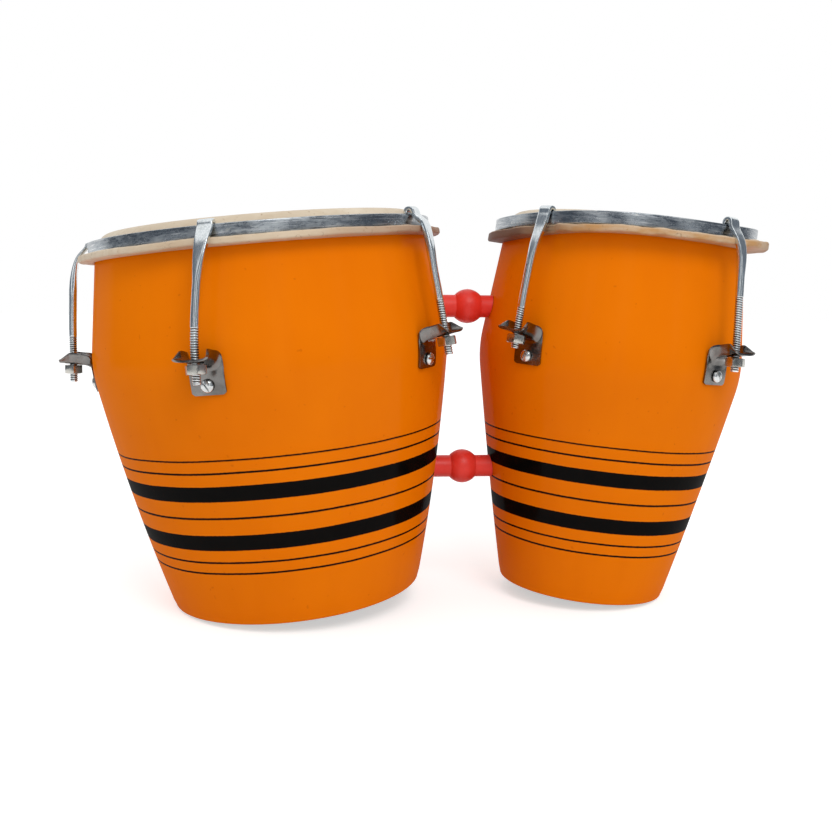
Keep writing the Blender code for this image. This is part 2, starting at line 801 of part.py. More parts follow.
def rod_place(drum, point):
    """A frame on the rod at a (radius, height) point, with its Z up along the rod."""
    return Matrix.Translation((point.x, 0, point.y)) @ Matrix.Rotation(-drum.rod_slant, 4, "Y")


def screw_place(drum, lift=0):
    """A frame on the shell at the bracket's screw, with its Z straight out of the wood, lifted off it."""
    height = screw_height(drum)
    lean = math.pi / 2 + math.atan(flank_slope(drum, height))
    place = Matrix.Translation((flank_radius(drum, height), 0, height))
    return place @ Matrix.Rotation(lean, 4, "Y") @ Matrix.Translation((0, 0, lift))


def add_lugs(drum, empty, workbench):
    """Hooks, nuts, brackets and screws, all round one drum."""
    nut = nut_mesh()
    bracket = bracket_mesh(drum, workbench)
    screw = screw_mesh(workbench)
    on_plate = SEAT_GAP + BRACKET_THICKNESS + SEAT_GAP
    for number, azimuth in enumerate(drum.lug_azimuths, 1):
        turn = Matrix.Rotation(math.radians(azimuth), 4, "Z")
        hook = hook_mesh(drum, drum.claw_turns[number - 1])
        add(f"{drum.name}_hook_{number}", hook, FINISHES["hook"], empty, turn)
        nut_frame = turn @ rod_place(drum, nut_middle(drum))
        add(f"{drum.name}_tuning_nut_{number}", nut, FINISHES["nut"], empty, nut_frame)
        add(f"{drum.name}_bracket_{number}", bracket, FINISHES["bracket"], empty, turn)
        screw_frame = turn @ screw_place(drum, on_plate)
        add(f"{drum.name}_bracket_screw_{number}", screw, FINISHES["screw"], empty, screw_frame)


# The pair


def add_drum(drum, empty):
    """Shell, flesh hoop, skin and rim hoop of one drum."""
    outline = outer_line(drum) + inner_line(drum)
    shell = add(drum.name + "_shell", turned("shell", outline, drum.sides), FINISHES["shell"], empty)
    add(drum.name + "_flesh_hoop", flesh_hoop_mesh(drum), FINISHES["hoop"], empty)
    add(drum.name + "_head_skin", skin_mesh(drum), FINISHES["skin"], empty)
    add(drum.name + "_rim_hoop", rim_hoop_mesh(drum), FINISHES["hoop"], empty)
    return shell


def drill_shell(drum, shell, empty):
    """Blind holes for the bracket screws."""
    radius = SCREW_SHANK_DIAMETER / 2 + HOLE_CLEARANCE
    depth = SCREW_SHANK_LENGTH - BRACKET_THICKNESS - SEAT_GAP
    drill = lofted("screw_hole", [ring(radius, -depth), ring(radius, SCREW_HEAD_HEIGHT)])
    for azimuth in drum.lug_azimuths:
        turn = Matrix.Rotation(math.radians(azimuth), 4, "Z")
        cut(shell, add_cutter(drum.name + "_screw_hole", drill, empty, turn @ screw_place(drum)))


def envelope(drum, empty):
    """The drum's outside plus a seat gap, as a solid that trims what seats on it."""
    line = offset_line(outer_line(drum), -SEAT_GAP)
    outline = [(0, line[0][1])] + line + [(0, line[-1][1])]
    return add_cutter(drum.name + "_envelope", turned("envelope", outline, drum.sides), empty)


def level(x, height):
    """A frame on a tie bolt's line, with its Z along +X."""
    return Matrix.Translation((x, 0, height)) @ Matrix.Rotation(math.pi / 2, 4, "Y")


def spacer_mesh(length, bore):
    """A ball between two collars, bored through."""
    ball = SPACER_BALL_DIAMETER / 2
    collar = SPACER_COLLAR_DIAMETER / 2
    start = math.asin(collar / ball)
    outline = [(bore, -length / 2), (collar, -length / 2)]
    for i in range(SPACER_BALL_STEPS + 1):
        turn = start + (math.pi - 2 * start) * i / SPACER_BALL_STEPS
        outline.append((ball * math.sin(turn), -ball * math.cos(turn)))
    outline += [(collar, length / 2), (bore, length / 2)]
    return turned("spacer", outline, ROUND_SIDES)


def tie_bolt_mesh(length):
    """A hexagon-head bolt, its head's bearing face at height 0 and its shank upwards."""
    shank = TIE_BOLT_DIAMETER / 2
    rings = [
        hexagon(TIE_HEAD_ACROSS_FLATS, -TIE_HEAD_HEIGHT),
        hexagon(TIE_HEAD_ACROSS_FLATS, 0),
        ring(shank, 0),
        ring(shank, length),
    ]
    return lofted("tie_bolt", rings)


def tie_nut_mesh():
    bore = TIE_BOLT_DIAMETER / 2 + HOLE_CLEARANCE
    rings = [
        hexagon(TIE_HEAD_ACROSS_FLATS, 0),
        hexagon(TIE_HEAD_ACROSS_FLATS, TIE_NUT_HEIGHT),
        ring(bore, TIE_NUT_HEIGHT),
        ring(bore, 0),
    ]
    return lofted("tie_nut", rings, closed=True)


def washer_mesh():
    bore = TIE_BOLT_DIAMETER / 2 + HOLE_CLEARANCE
    outer = WASHER_DIAMETER / 2
    rings = [
        ring(outer, 0, ROUND_SIDES),
        ring(outer, WASHER_THICKNESS, ROUND_SIDES),
        ring(bore, WASHER_THICKNESS, ROUND_SIDES),
        ring(bore, 0, ROUND_SIDES),
    ]
    return lofted("tie_washer", rings, closed=True)


def add_tie(name, height, shift, assembly, shells, empties, envelopes):
    """One spacer between the drums, and the bolt, washers and nut that clamp them on it."""
    left_wall = wall_point(LARGE, empties[0], height)
    right_wall = wall_point(SMALL, empties[1], height)
    middle = (left_wall + right_wall) / 2 + shift
    bore = TIE_BOLT_DIAMETER / 2 + HOLE_CLEARANCE
    reach = right_wall - left_wall + SPACER_COLLAR_DIAMETER
    ball = spacer_mesh(reach, bore)
    spacer = add(name + "_spacer", ball, FINISHES["spacer"], assembly, level(middle, height))
    for shape in envelopes:
        cut(spacer, shape)

    left_seat = left_wall - SPOT_FACE_WALL
    right_seat = right_wall + SPOT_FACE_WALL
    spot = WASHER_DIAMETER / 2 + SEAT_MARGIN
    drill = lofted("tie_drill", [ring(bore, -TIE_DRILL_REACH), ring(bore, TIE_DRILL_REACH)])
    face = lofted("spot_face", [ring(spot, 0, ROUND_SIDES), ring(spot, TIE_DRILL_REACH, ROUND_SIDES)])
    back = Matrix.Rotation(math.pi, 4, "Y")
    seats = (level(left_seat, height) @ back, level(right_seat, height))
    for shell, seat in zip(shells, seats):
        cut(shell, add_cutter(name + "_drill", drill, assembly, seat))
        cut(shell, add_cutter(name + "_spot_face", face, assembly, seat))

    stack = SEAT_GAP + WASHER_THICKNESS + SEAT_GAP
    grip = right_seat - left_seat + 2 * stack
    length = grip + TIE_NUT_HEIGHT + TIE_BOLT_END
    bolt_place = level(left_seat - stack, height)
    add(name + "_tie_bolt", tie_bolt_mesh(length), FINISHES["bolt"], assembly, bolt_place)
    washer = washer_mesh()
    left_place = level(left_seat - SEAT_GAP - WASHER_THICKNESS, height)
    add(name + "_tie_washer_large", washer, FINISHES["bolt"], assembly, left_place)
    add(name + "_tie_washer_small", washer, FINISHES["bolt"], assembly, level(right_seat + SEAT_GAP, height))
    add(name + "_tie_nut", tie_nut_mesh(), FINISHES["bolt"], assembly, level(right_seat + stack, height))


def clear_scene():
    for old in list(bpy.data.objects):
        bpy.data.objects.remove(old, do_unlink=True)


def make_finishes():
    """The surfaces, by the kind of piece."""
    return {
        "shell": finish("orange_lacquer", (0.78, 0.18, 0.004), 0.35, 0),
        "skin": finish("rawhide", (0.69, 0.59, 0.46), 0.6, 0),
        "hoop": finish("galvanised_hoop", (0.42, 0.45, 0.48), 0.4, 1),
        "hook": finish("bright_hook_steel", (0.55, 0.60, 0.64), 0.28, 1),
        "nut": finish("plated_nut", (0.55, 0.56, 0.52), 0.35, 1),
        "bracket": finish("bracket_sheet", (0.42, 0.42, 0.40), 0.38, 1),
        "screw": finish("plated_screw", (0.50, 0.52, 0.53), 0.3, 1),
        "spacer": finish("red_spacer", (0.76, 0.02, 0.012), 0.4, 0),
        "bolt": finish("zinc_bolt", (0.6, 0.6, 0.58), 0.4, 1),
    }


def centre_on_x(assembly):
    """Moves the pair so that its box is centred on X."""
    bpy.context.view_layer.update()
    graph = bpy.context.evaluated_depsgraph_get()
    reach = []
    for piece in bpy.context.scene.objects:
        if piece.type == "MESH" and not piece.hide_render:
            place = piece.matrix_world
            reach += [(place @ vertex.co).x for vertex in piece.evaluated_get(graph).data.vertices]
    assembly.location.x = -(min(reach) + max(reach)) / 2


clear_scene()
FINISHES = make_finishes()
pair = bpy.data.objects.new("bongos", None)
bpy.context.scene.collection.objects.link(pair)
bench = bpy.data.objects.new("workbench", None)
bpy.context.scene.collection.objects.link(bench)
drums = (LARGE, SMALL)
frames = [drum_empty(drum, pair) for drum in drums]
wooden_shells = [add_drum(drum, frame) for drum, frame in zip(drums, frames)]
outsides = [envelope(drum, frame) for drum, frame in zip(drums, frames)]
for drum, frame, wooden_shell in zip(drums, frames, wooden_shells):
    add_lugs(drum, frame, bench)
    drill_shell(drum, wooden_shell, frame)
add_tie("upper", UPPER_SPACER_HEIGHT, UPPER_BALL_SHIFT, pair, wooden_shells, frames, outsides)
add_tie("lower", LOWER_SPACER_HEIGHT, LOWER_BALL_SHIFT, pair, wooden_shells, frames, outsides)
for tool in list(bench.children):
    bpy.data.objects.remove(tool, do_unlink=True)
bpy.data.objects.remove(bench, do_unlink=True)
centre_on_x(pair)
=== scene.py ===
import math
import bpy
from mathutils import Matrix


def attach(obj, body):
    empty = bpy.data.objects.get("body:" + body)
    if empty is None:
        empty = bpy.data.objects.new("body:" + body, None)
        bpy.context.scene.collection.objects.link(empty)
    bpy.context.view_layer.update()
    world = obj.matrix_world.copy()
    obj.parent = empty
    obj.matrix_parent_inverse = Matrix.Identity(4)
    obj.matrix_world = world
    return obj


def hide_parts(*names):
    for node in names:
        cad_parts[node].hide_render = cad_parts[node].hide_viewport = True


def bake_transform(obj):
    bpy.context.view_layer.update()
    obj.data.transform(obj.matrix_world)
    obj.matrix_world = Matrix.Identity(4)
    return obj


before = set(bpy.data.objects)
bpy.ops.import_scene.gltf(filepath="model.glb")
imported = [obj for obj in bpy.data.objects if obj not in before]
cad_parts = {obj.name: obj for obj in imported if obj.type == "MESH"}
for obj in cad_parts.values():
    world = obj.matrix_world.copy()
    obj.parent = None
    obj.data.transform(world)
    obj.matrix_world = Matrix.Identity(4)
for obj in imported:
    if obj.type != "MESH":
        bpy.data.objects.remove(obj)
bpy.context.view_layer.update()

from types import SimpleNamespace

import bmesh
import bpy
from mathutils import Matrix, Vector, noise

# Sizes in metres and angles in radians, but lugs' places and the turns of nuts and claws in degrees

WELD = 0.000001
ROUND_STEPS = 192

SEAT_GAP = 0.0003
SHOULDER_SOFTNESS = 0.0038
BEARING_EDGE_DROP = 0.013
BEARING_EDGE_INSET = 0.0071
BEARING_EDGE_ROUNDNESS = 1.6
INNER_EDGE_DROP = 0.003
BASE_ROUNDING = 0.0015
SKIN_THICKNESS = 0.001
SKIN_LAP_START = 0.0006
FLESH_HOOP_THICKNESS = 0.0015
RIM_THICKNESS = 0.002
RIM_ROUNDING = 0.0006

LIP_THICKNESS = 0.0014
LIP_LENGTH = 0.0038
LIP_GAP = 0.0005
CLAW_THICKNESS = 0.0026
CLAW_GAP = 0.0005
FORGED_LENGTH = 0.030
HOOK_STEP = 0.0009
HOOK_SIDES = 24
THREAD_RUN_OUT = 0.002

STRIPES = (
    (0.0339, 0.0351),
    (0.0411, 0.0423),
    (0.0495, 0.0592),
    (0.0691, 0.0705),
    (0.0802, 0.0895),
    (0.0967, 0.0980),
    (0.1044, 0.1055),
)
STRIPE_BAND = (0.030, 0.110)
STRIPE_EDGE = 0.00008

ROD_DIAMETER = 0.0049
THREAD_PITCH = 0.0014
THREAD_DEPTH = 0.00042
NUT_ACROSS_FLATS = 0.0104
NUT_HEIGHT = 0.0052
NUT_BORE = 0.0055

BRACKET_THICKNESS = 0.0013
BRACKET_TILT = math.radians(11)
SCREW_DROP = 0.0139
SCREW_HEAD_DIAMETER = 0.0076
SCREW_HEAD_HEIGHT = 0.0026
SCREW_SHANK_DIAMETER = 0.004
SCREW_LENGTH = 0.0085
SCREW_POINT_LENGTH = 0.0038
HOLE_ROOM = 0.0004
BRACKET_HALF_WIDTH = 0.010
BRACKET_CORNER = 0.0018
BRACKET_FLAT = 0.0034
WING = 0.0082
PLATE_BELOW_SCREW = 0.0055
PLATE_TOP_DROP = 0.0072
# The troughed tongue's rows as (reach past the rod, half width, wing)
TONGUE = (
    (-0.003, 0.0077, 0.0068),
    (0.0, 0.0078, 0.0068),
    (0.0018, 0.0083, 0.0056),
    (0.0035, 0.0088, 0.0042),
    (0.0053, 0.0093, 0.0026),
    (0.0070, 0.0098, 0.0015),
)
ROD_HOLE_ROOM = 0.0009
SCREW_HOLE_DEPTH = 0.0069

UPPER_TIE_HEIGHT = 0.1959
LOWER_TIE_HEIGHT = 0.0878
BALL_DIAMETER = 0.0227
UPPER_BALL_SHIFT = 0.0014
COLLAR_DIAMETER = 0.0148
TIE_DIAMETER = 0.006
WASHER_DIAMETER = 0.016
WASHER_THICKNESS = 0.0012
TIE_ACROSS_FLATS = 0.010
TIE_HEAD_HEIGHT = 0.004
TIE_NUT_HEIGHT = 0.005
TIE_END = 0.003
SPOT_FACE_WALL = 0.0064
SPOT_FACE_REACH = 0.022

CAMERA_PLACE = (-0.08437, -0.6665, 0.2033)
CAMERA_TURNS = (7.19, 6.90, -0.71)
LENS_LENGTH = 43.49
CARD_HEIGHT = 1.5
CARD_GREY = (0.17, 0.19, 0.22, 1)

LARGE = SimpleNamespace(
    name="large",
    origin=(-0.079007, 0, 0.007895),
    lean=-math.radians(5.71),
    height=0.2388,
    base_radius=0.0811,
    shoulder_radius=0.1148,
    shoulder_height=0.1597,
    flank_bulge=0.00245,
    upper_taper=0.153,
    wall=0.011,
    flesh_height=0.2252,
    flesh_width=0.007,
    flesh_tilt=math.radians(6),
    rim_radius=0.108,
    rim_height=0.0076,
    lug_degrees=(180, 252, 324, 36, 108),
    lug_radius=0.1275,
    lug_height=0.1627,
    rod_slant=math.radians(6),
    rod_end=0.0055,
    thread_above_lug=(0.0175, 0.019, 0.0215, 0.018, 0.021),
    claw_width=0.0088,
    claw_rises=(0.0018, 0.0030, 0.0046, 0.0030, 0.0030),
    claw_turns=(0.0, 3.6, 4.3, 0.0, 0.0),
    claw_sweeps=(1, 1.4, 5, 1, 1),
    hook_bends=(
        # As (radius, height), from the claw down
        (
            (0.1152, 0.2302),
            (0.1179, 0.2254),
            (0.1196, 0.2200),
            (0.1209, 0.2150),
            (0.1223, 0.2070),
            (0.1235, 0.1975),
        ),
    ),
    nut_turns=(10, 3, 20, 41, 17),
    collar_tucks=(0, 0, 0, 0, 0),
    collar_sag=0,
    collar_browning=0.2,
    scorches=[(0.030, 0.104, 0.8, (0.24, 0.090, 0.036))],
    hoop_bend=0,
    hoop_sag=0.0006,
)

SMALL = SimpleNamespace(
    name="small",
    origin=(0.116393, 0, 0.005119),
    lean=math.radians(5.43),
    height=0.2468,
    base_radius=0.0558,
    shoulder_radius=0.0884,
    shoulder_height=0.1558,
    flank_bulge=0.0009,
    upper_taper=0.115,
    wall=0.010,
    flesh_height=0.2357,
    flesh_width=0.0095,
    flesh_tilt=0,
    rim_radius=0.086,
    rim_height=0.0079,
    lug_degrees=(218.3, 300.4, 38.3, 120.4),
    lug_radius=0.1008,
    lug_height=0.1693,
    rod_slant=math.radians(4.6),
    rod_end=0.003,
    thread_above_lug=(0.016, 0.036, 0.020, 0.026),
    claw_width=0.0082,
    claw_rises=(0.0036, 0.0046, 0.0030, 0.0030),
    claw_turns=(0.0, -0.9, 0.0, 0.0),
    claw_sweeps=(1, 1.5, 1, 1),
    hook_bends=(
        (
            (0.0886, 0.2420),
            (0.0900, 0.2357),
            (0.0921, 0.2295),
            (0.0945, 0.2230),
            (0.0964, 0.2130),
            (0.0976, 0.2030),
        ),
        ((0.0912, 0.2422), (0.0940, 0.2376), (0.0958, 0.2320), (0.0965, 0.2250), (0.0971, 0.2160)),
    ),
    nut_turns=(-3, 20, 34, 11),
    collar_tucks=(0.0052, 0.0004, 0.0052, 0.0004),
    collar_sag=0.0032,
    collar_browning=0.9,
    scorches=[
        (-0.045, -0.082, 0.9, (0.11, 0.042, 0.022)),
        (0.060, 0.090, 0.5, (0.14, 0.085, 0.05)),
    ],
    hoop_bend=0.005,
    hoop_sag=-0.0003,
)


def drum_place(drum):
    return Matrix.Translation(drum.origin) @ Matrix.Rotation(drum.lean, 4, "Y")


def lug_turn(degrees):
    return Matrix.Rotation(math.radians(degrees), 4, "Z")


def lug_place(drum, degrees):
    """The drum's frame, turned so that +X points out through one lug."""
    return drum_place(drum) @ lug_turn(degrees)


# Forms shared by several pieces


def flank_radius(drum, height):
    """Outer radius of the shell: a bulged lower flank, a soft shoulder and a straight upper flank."""
    t = height / drum.shoulder_height
    swell = drum.flank_bulge * 4 * t * (1 - t)
    lower = drum.base_radius + (drum.shoulder_radius - drum.base_radius) * t + swell
    upper = drum.shoulder_radius - drum.upper_taper * (height - drum.shoulder_height)
    share = min(max(0.5 + 0.5 * (upper - lower) / SHOULDER_SOFTNESS, 0), 1)
    return upper + (lower - upper) * share - SHOULDER_SOFTNESS * share * (1 - share)


def bearing_edge(drum, steps):
    """The outer rounding at the top, from the flank up to the crest that the skin lies on."""
    power = 2 / BEARING_EDGE_ROUNDNESS
    points = []
    for i in range(steps + 1):
        turn = math.pi / 2 * i / steps
        drop = BEARING_EDGE_DROP * (1 - math.sin(turn) ** power)
        inset = BEARING_EDGE_INSET * (1 - max(math.cos(turn), 0) ** power)
        height = drum.height - drop
        points.append((flank_radius(drum, height) - inset, height))
    return points


def edge_radius(drum, height):
    """Outer radius of the shell with its bearing edge's rounding."""
    up = min(max(1 - (drum.height - height) / BEARING_EDGE_DROP, 0), 1)
    left = (1 - up**BEARING_EDGE_ROUNDNESS) ** (1 / BEARING_EDGE_ROUNDNESS)
    return flank_radius(drum, height) - BEARING_EDGE_INSET * (1 - left)


def hoop_lift(drum, azimuth):
    """How far the tightened hoop stands above its true height: it is bent, high on +X and low on -X."""
    return drum.hoop_bend * math.cos(azimuth) ** 3 - drum.hoop_sag


def offset_line(points, distance):
    """A line moved sideways, to the left of the way it runs."""
    vectors = [Vector(point) for point in points]
    normals = []
    for start, end in zip(vectors, vectors[1:]):
        way = (end - start).normalized()
        normals.append(Vector((-way.y, way.x)))
    moved = []
    for i, point in enumerate(vectors):
        before = normals[max(i - 1, 0)]
        after = normals[min(i, len(normals) - 1)]
        moved.append(tuple(point + (before + after) * (distance / (1 + before.dot(after)))))
    return moved


def flesh_inner(drum):
    """Inner radius of the flesh hoop, which clears the skin on the flank."""
    return flank_radius(drum, drum.flesh_height) + 2 * SEAT_GAP + SKIN_THICKNESS


def collar_point(drum, along, above):
    """A point of the tilted collar, from the flesh hoop's inner lower corner."""
    sine, cosine = math.sin(drum.flesh_tilt), math.cos(drum.flesh_tilt)
    height = drum.flesh_height + along * sine + above * cosine
    return flesh_inner(drum) + along * cosine - above * sine, height


def rim_seat(drum):
    """Height of the skin's lap under the rim hoop's outer edge."""
    above = FLESH_HOOP_THICKNESS + SEAT_GAP + SKIN_THICKNESS
    sine, cosine = math.sin(drum.flesh_tilt), math.cos(drum.flesh_tilt)
    along = (drum.rim_radius - flesh_inner(drum) + above * sine) / cosine
    return collar_point(drum, along, above)[1]


def rim_top(drum):
    return rim_seat(drum) + SEAT_GAP + drum.rim_height


def lug_point(drum):
    """Where the rod goes through the bracket's tongue, as (radius, height)."""
    return Vector((drum.lug_radius, drum.lug_height))


def rod_way(drum):
    """Direction of the rod, upwards, as (radius, height)."""
    return Vector((-math.sin(drum.rod_slant), math.cos(drum.rod_slant)))


def rod_frame(drum, point):
    """A frame at a point of the rod, with its Z up the rod."""
    return Matrix.Translation((point.x, 0, point.y)) @ Matrix.Rotation(-drum.rod_slant, 4, "Y")


def hexagon_corner(across_flats):
    return across_flats / 2 / math.cos(math.pi / 6)


def nut_middle(drum):
    wedge = hexagon_corner(NUT_ACROSS_FLATS) * math.tan(BRACKET_TILT - drum.rod_slant)
    drop = BRACKET_THICKNESS / 2 + wedge + SEAT_GAP + NUT_HEIGHT / 2
    return lug_point(drum) - rod_way(drum) * drop


def rod_foot(drum):
    return nut_middle(drum) - rod_way(drum) * (NUT_HEIGHT / 2 + drum.rod_end)


def screw_place(drum, lift):
    """A frame at the bracket's screw, with its Z straight out of the wood, lifted off it."""
    height = drum.lug_height - SCREW_DROP
    slope = (flank_radius(drum, height + 0.001) - flank_radius(drum, height - 0.001)) / 0.002
    place = Matrix.Translation((flank_radius(drum, height), 0, height))
    turn = Matrix.Rotation(math.pi / 2 + math.atan(slope), 4, "Y")
    return place @ turn @ Matrix.Translation((0, 0, lift))


def smooth_step(low, high, value):
    t = min(max((value - low) / (high - low), 0), 1)
    return t * t * (3 - 2 * t)


def spline(points, steps):
    """A smooth line through rows of numbers, with so many steps between each two."""
    rows = [points[0]] + list(points) + [points[-1]]
    line = []
    for a, b, c, d in zip(rows, rows[1:], rows[2:], rows[3:]):
        for i in range(steps):
            t = i / steps
            row = []
            for p, q, r, s in zip(a, b, c, d):
                curve = 2 * q + (r - p) * t + (2 * p - 5 * q + 4 * r - s) * t**2
                row.append((curve + (3 * q - p - 3 * r + s) * t**3) / 2)
            line.append(tuple(row))
    line.append(tuple(points[-1]))
    return line


def bent_line(points, steps):
    """A softer line that is drawn towards its points and meets only the first and the last."""
    rows = [points[0]] * 2 + list(points) + [points[-1]] * 2
    line = []
    for group in zip(rows, rows[1:], rows[2:], rows[3:]):
        for i in range(steps):
            t = i / steps
            weights = ((1 - t) ** 3, 3 * t**3 - 6 * t**2 + 4, 1 + 3 * (t + t**2 - t**3), t**3)
            terms = [Vector(row) * (weight / 6) for row, weight in zip(group, weights)]
            line.append(sum(terms, Vector((0, 0))))
    line.append(Vector(points[-1]))
    return line


# Bench tools


def choose(piece):
    """Puts one piece alone on the bench."""
    bpy.ops.object.select_all(action="DESELECT")
    bpy.context.view_layer.objects.active = piece
    piece.select_set(True)


def new_shape(name, add_primitive, location=(0, 0, 0), **settings):
    """A basic shape, alone on the bench."""
    bpy.ops.object.select_all(action="DESELECT")
    add_primitive(location=location, **settings)
    piece = bpy.context.object
    piece.name = name
    return piece


def edit(piece):
    choose(piece)
    bpy.ops.object.mode_set(mode="EDIT")


def leave_edit():
    bpy.ops.object.mode_set(mode="OBJECT")


def draw_outline(name, points, closed=False):
    """A line drawn point by point over the X and Z axes, left in edit mode."""
    piece = new_shape(name, bpy.ops.mesh.primitive_plane_add, size=0.001)
    bpy.ops.object.mode_set(mode="EDIT")
    bpy.ops.mesh.select_all(action="SELECT")
    bpy.ops.mesh.merge(type="CENTER")
    bpy.ops.transform.translate(value=(points[0][0], 0, points[0][1]))
    for before, after in zip(points, points[1:]):
        step = (after[0] - before[0], 0, after[1] - before[1])
        bpy.ops.mesh.extrude_vertices_move(TRANSFORM_OT_translate={"value": step})
    if closed:
        bm = bmesh.from_edit_mesh(piece.data)
        bm.verts.ensure_lookup_table()
        bm.verts[0].select = True
        bmesh.update_edit_mesh(piece.data)
        bpy.ops.mesh.edge_face_add()
    return piece


def turn_on_lathe(name, points, closed=False, steps=ROUND_STEPS):
    """A solid spun about Z from its outline."""
    piece = draw_outline(name, points, closed)
    bpy.ops.mesh.select_all(action="SELECT")
    bpy.ops.mesh.spin(steps=steps, angle=2 * math.pi, center=(0, 0, 0), axis=(0, 0, 1))
    bpy.ops.mesh.select_all(action="SELECT")
    bpy.ops.mesh.remove_doubles(threshold=WELD)
    bpy.ops.mesh.normals_make_consistent(inside=False)
    leave_edit()
    return piece


def put_ring(piece, points):
    """Moves the selected ring's vertices to their places in a new section."""
    bm = bmesh.from_edit_mesh(piece.data)
    order = bm.verts.layers.int["order"]
    for vertex in bm.verts:
        if vertex.select:
            vertex.co = points[vertex[order]]
    bmesh.update_edit_mesh(piece.data)


def extrude_sections(name, rings):
    """A bar extruded from section to section, with flat ends."""
    add_circle = bpy.ops.mesh.primitive_circle_add
    piece = new_shape(name, add_circle, vertices=len(rings[0]), radius=0.002, fill_type="NGON")
    bpy.ops.object.mode_set(mode="EDIT")
    bm = bmesh.from_edit_mesh(piece.data)
    order = bm.verts.layers.int.new("order")
    for i, vertex in enumerate(bm.verts):
        vertex[order] = i
    put_ring(piece, rings[0])
    for ring in rings[1:]:
        bpy.ops.mesh.extrude_region_move()
        put_ring(piece, ring)
    bpy.ops.mesh.select_all(action="SELECT")
    bpy.ops.mesh.normals_make_consistent(inside=False)
    leave_edit()
    return piece


def apply_modifier(piece, kind, **settings):
    """Adds one modifier and applies it."""
    choose(piece)
    modifier = piece.modifiers.new(kind.lower(), kind)
    for key, value in settings.items():
        setattr(modifier, key, value)
    bpy.ops.object.modifier_apply(modifier=modifier.name)


def cut_away(piece, tool, operation="DIFFERENCE"):
    """Cuts a piece with another shape and puts the tool away."""
    apply_modifier(piece, "BOOLEAN", object=tool, operation=operation, solver="EXACT")
    bpy.data.objects.remove(tool, do_unlink=True)


def drill(radius, low, high, place, steps=40):
    """A round cutting tool along its own Z, from low to high."""
    add_cylinder = bpy.ops.mesh.primitive_cylinder_add
    tool = new_shape("drill", add_cylinder, vertices=steps, radius=radius, depth=high - low)
    tool.data.transform(place @ Matrix.Translation((0, 0, (low + high) / 2)))
    return tool


def soften_edges(piece, width, degrees):
    """Rounds the edges that are sharper than an angle."""
    limit = math.radians(degrees)
    apply_modifier(piece, "BEVEL", width=width, segments=2, limit_method="ANGLE", angle_limit=limit)


def set_down(piece, place):
    """Moves a piece's mesh to its place, which leaves its object at the origin."""
    piece.data.transform(place)
    piece.data.update()


def another(piece, name):
    """A copy of a piece, with a mesh of its own."""
    copy = bpy.data.objects.new(name, piece.data.copy())
    bpy.context.scene.collection.objects.link(copy)
    return copy


def hand_over(piece, node, body, finishes, place=Matrix.Identity(4), smooth_degrees=38):
    """Puts a finished piece in its place, gives it its finishes and the body it rides on, and hides the CAD
    node that it stands in for.
    """
    set_down(piece, place)
    choose(piece)
    bpy.ops.object.shade_smooth_by_angle(angle=math.radians(smooth_degrees))
    piece.data.materials.clear()
    for finish in finishes:
        piece.data.materials.append(finish)
    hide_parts(node)
    if body:
        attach(piece, body)


# Finishes


def add_node(tree, kind, values=None, **settings):
    """One node with its settings, and its sockets set to values or joined to other sockets."""
    node = tree.nodes.new(kind)
    for key, value in settings.items():
        setattr(node, key, value)
    for key, value in (values or {}).items():
        if isinstance(value, bpy.types.NodeSocket):
            tree.links.new(value, node.inputs[key])
        else:
            node.inputs[key].default_value = value
    return node


def spread(tree, factor, low, high, to_low=0.0, to_high=1.0):
    values = {"Value": factor, "From Min": low, "From Max": high, "To Min": to_low, "To Max": to_high}
    return add_node(tree, "ShaderNodeMapRange", values).outputs["Result"]


def sum_up(tree, operation, first, second=0.0):
    return add_node(tree, "ShaderNodeMath", {0: first, 1: second}, operation=operation).outputs[0]


def mix(tree, factor, first, second):
    """First colour where the factor is 0, second where it is 1."""
    first, second = [(*colour, 1) if isinstance(colour, tuple) else colour for colour in (first, second)]
    return add_node(tree, "ShaderNodeMix", {0: factor, 6: first, 7: second}, data_type="RGBA").outputs[2]


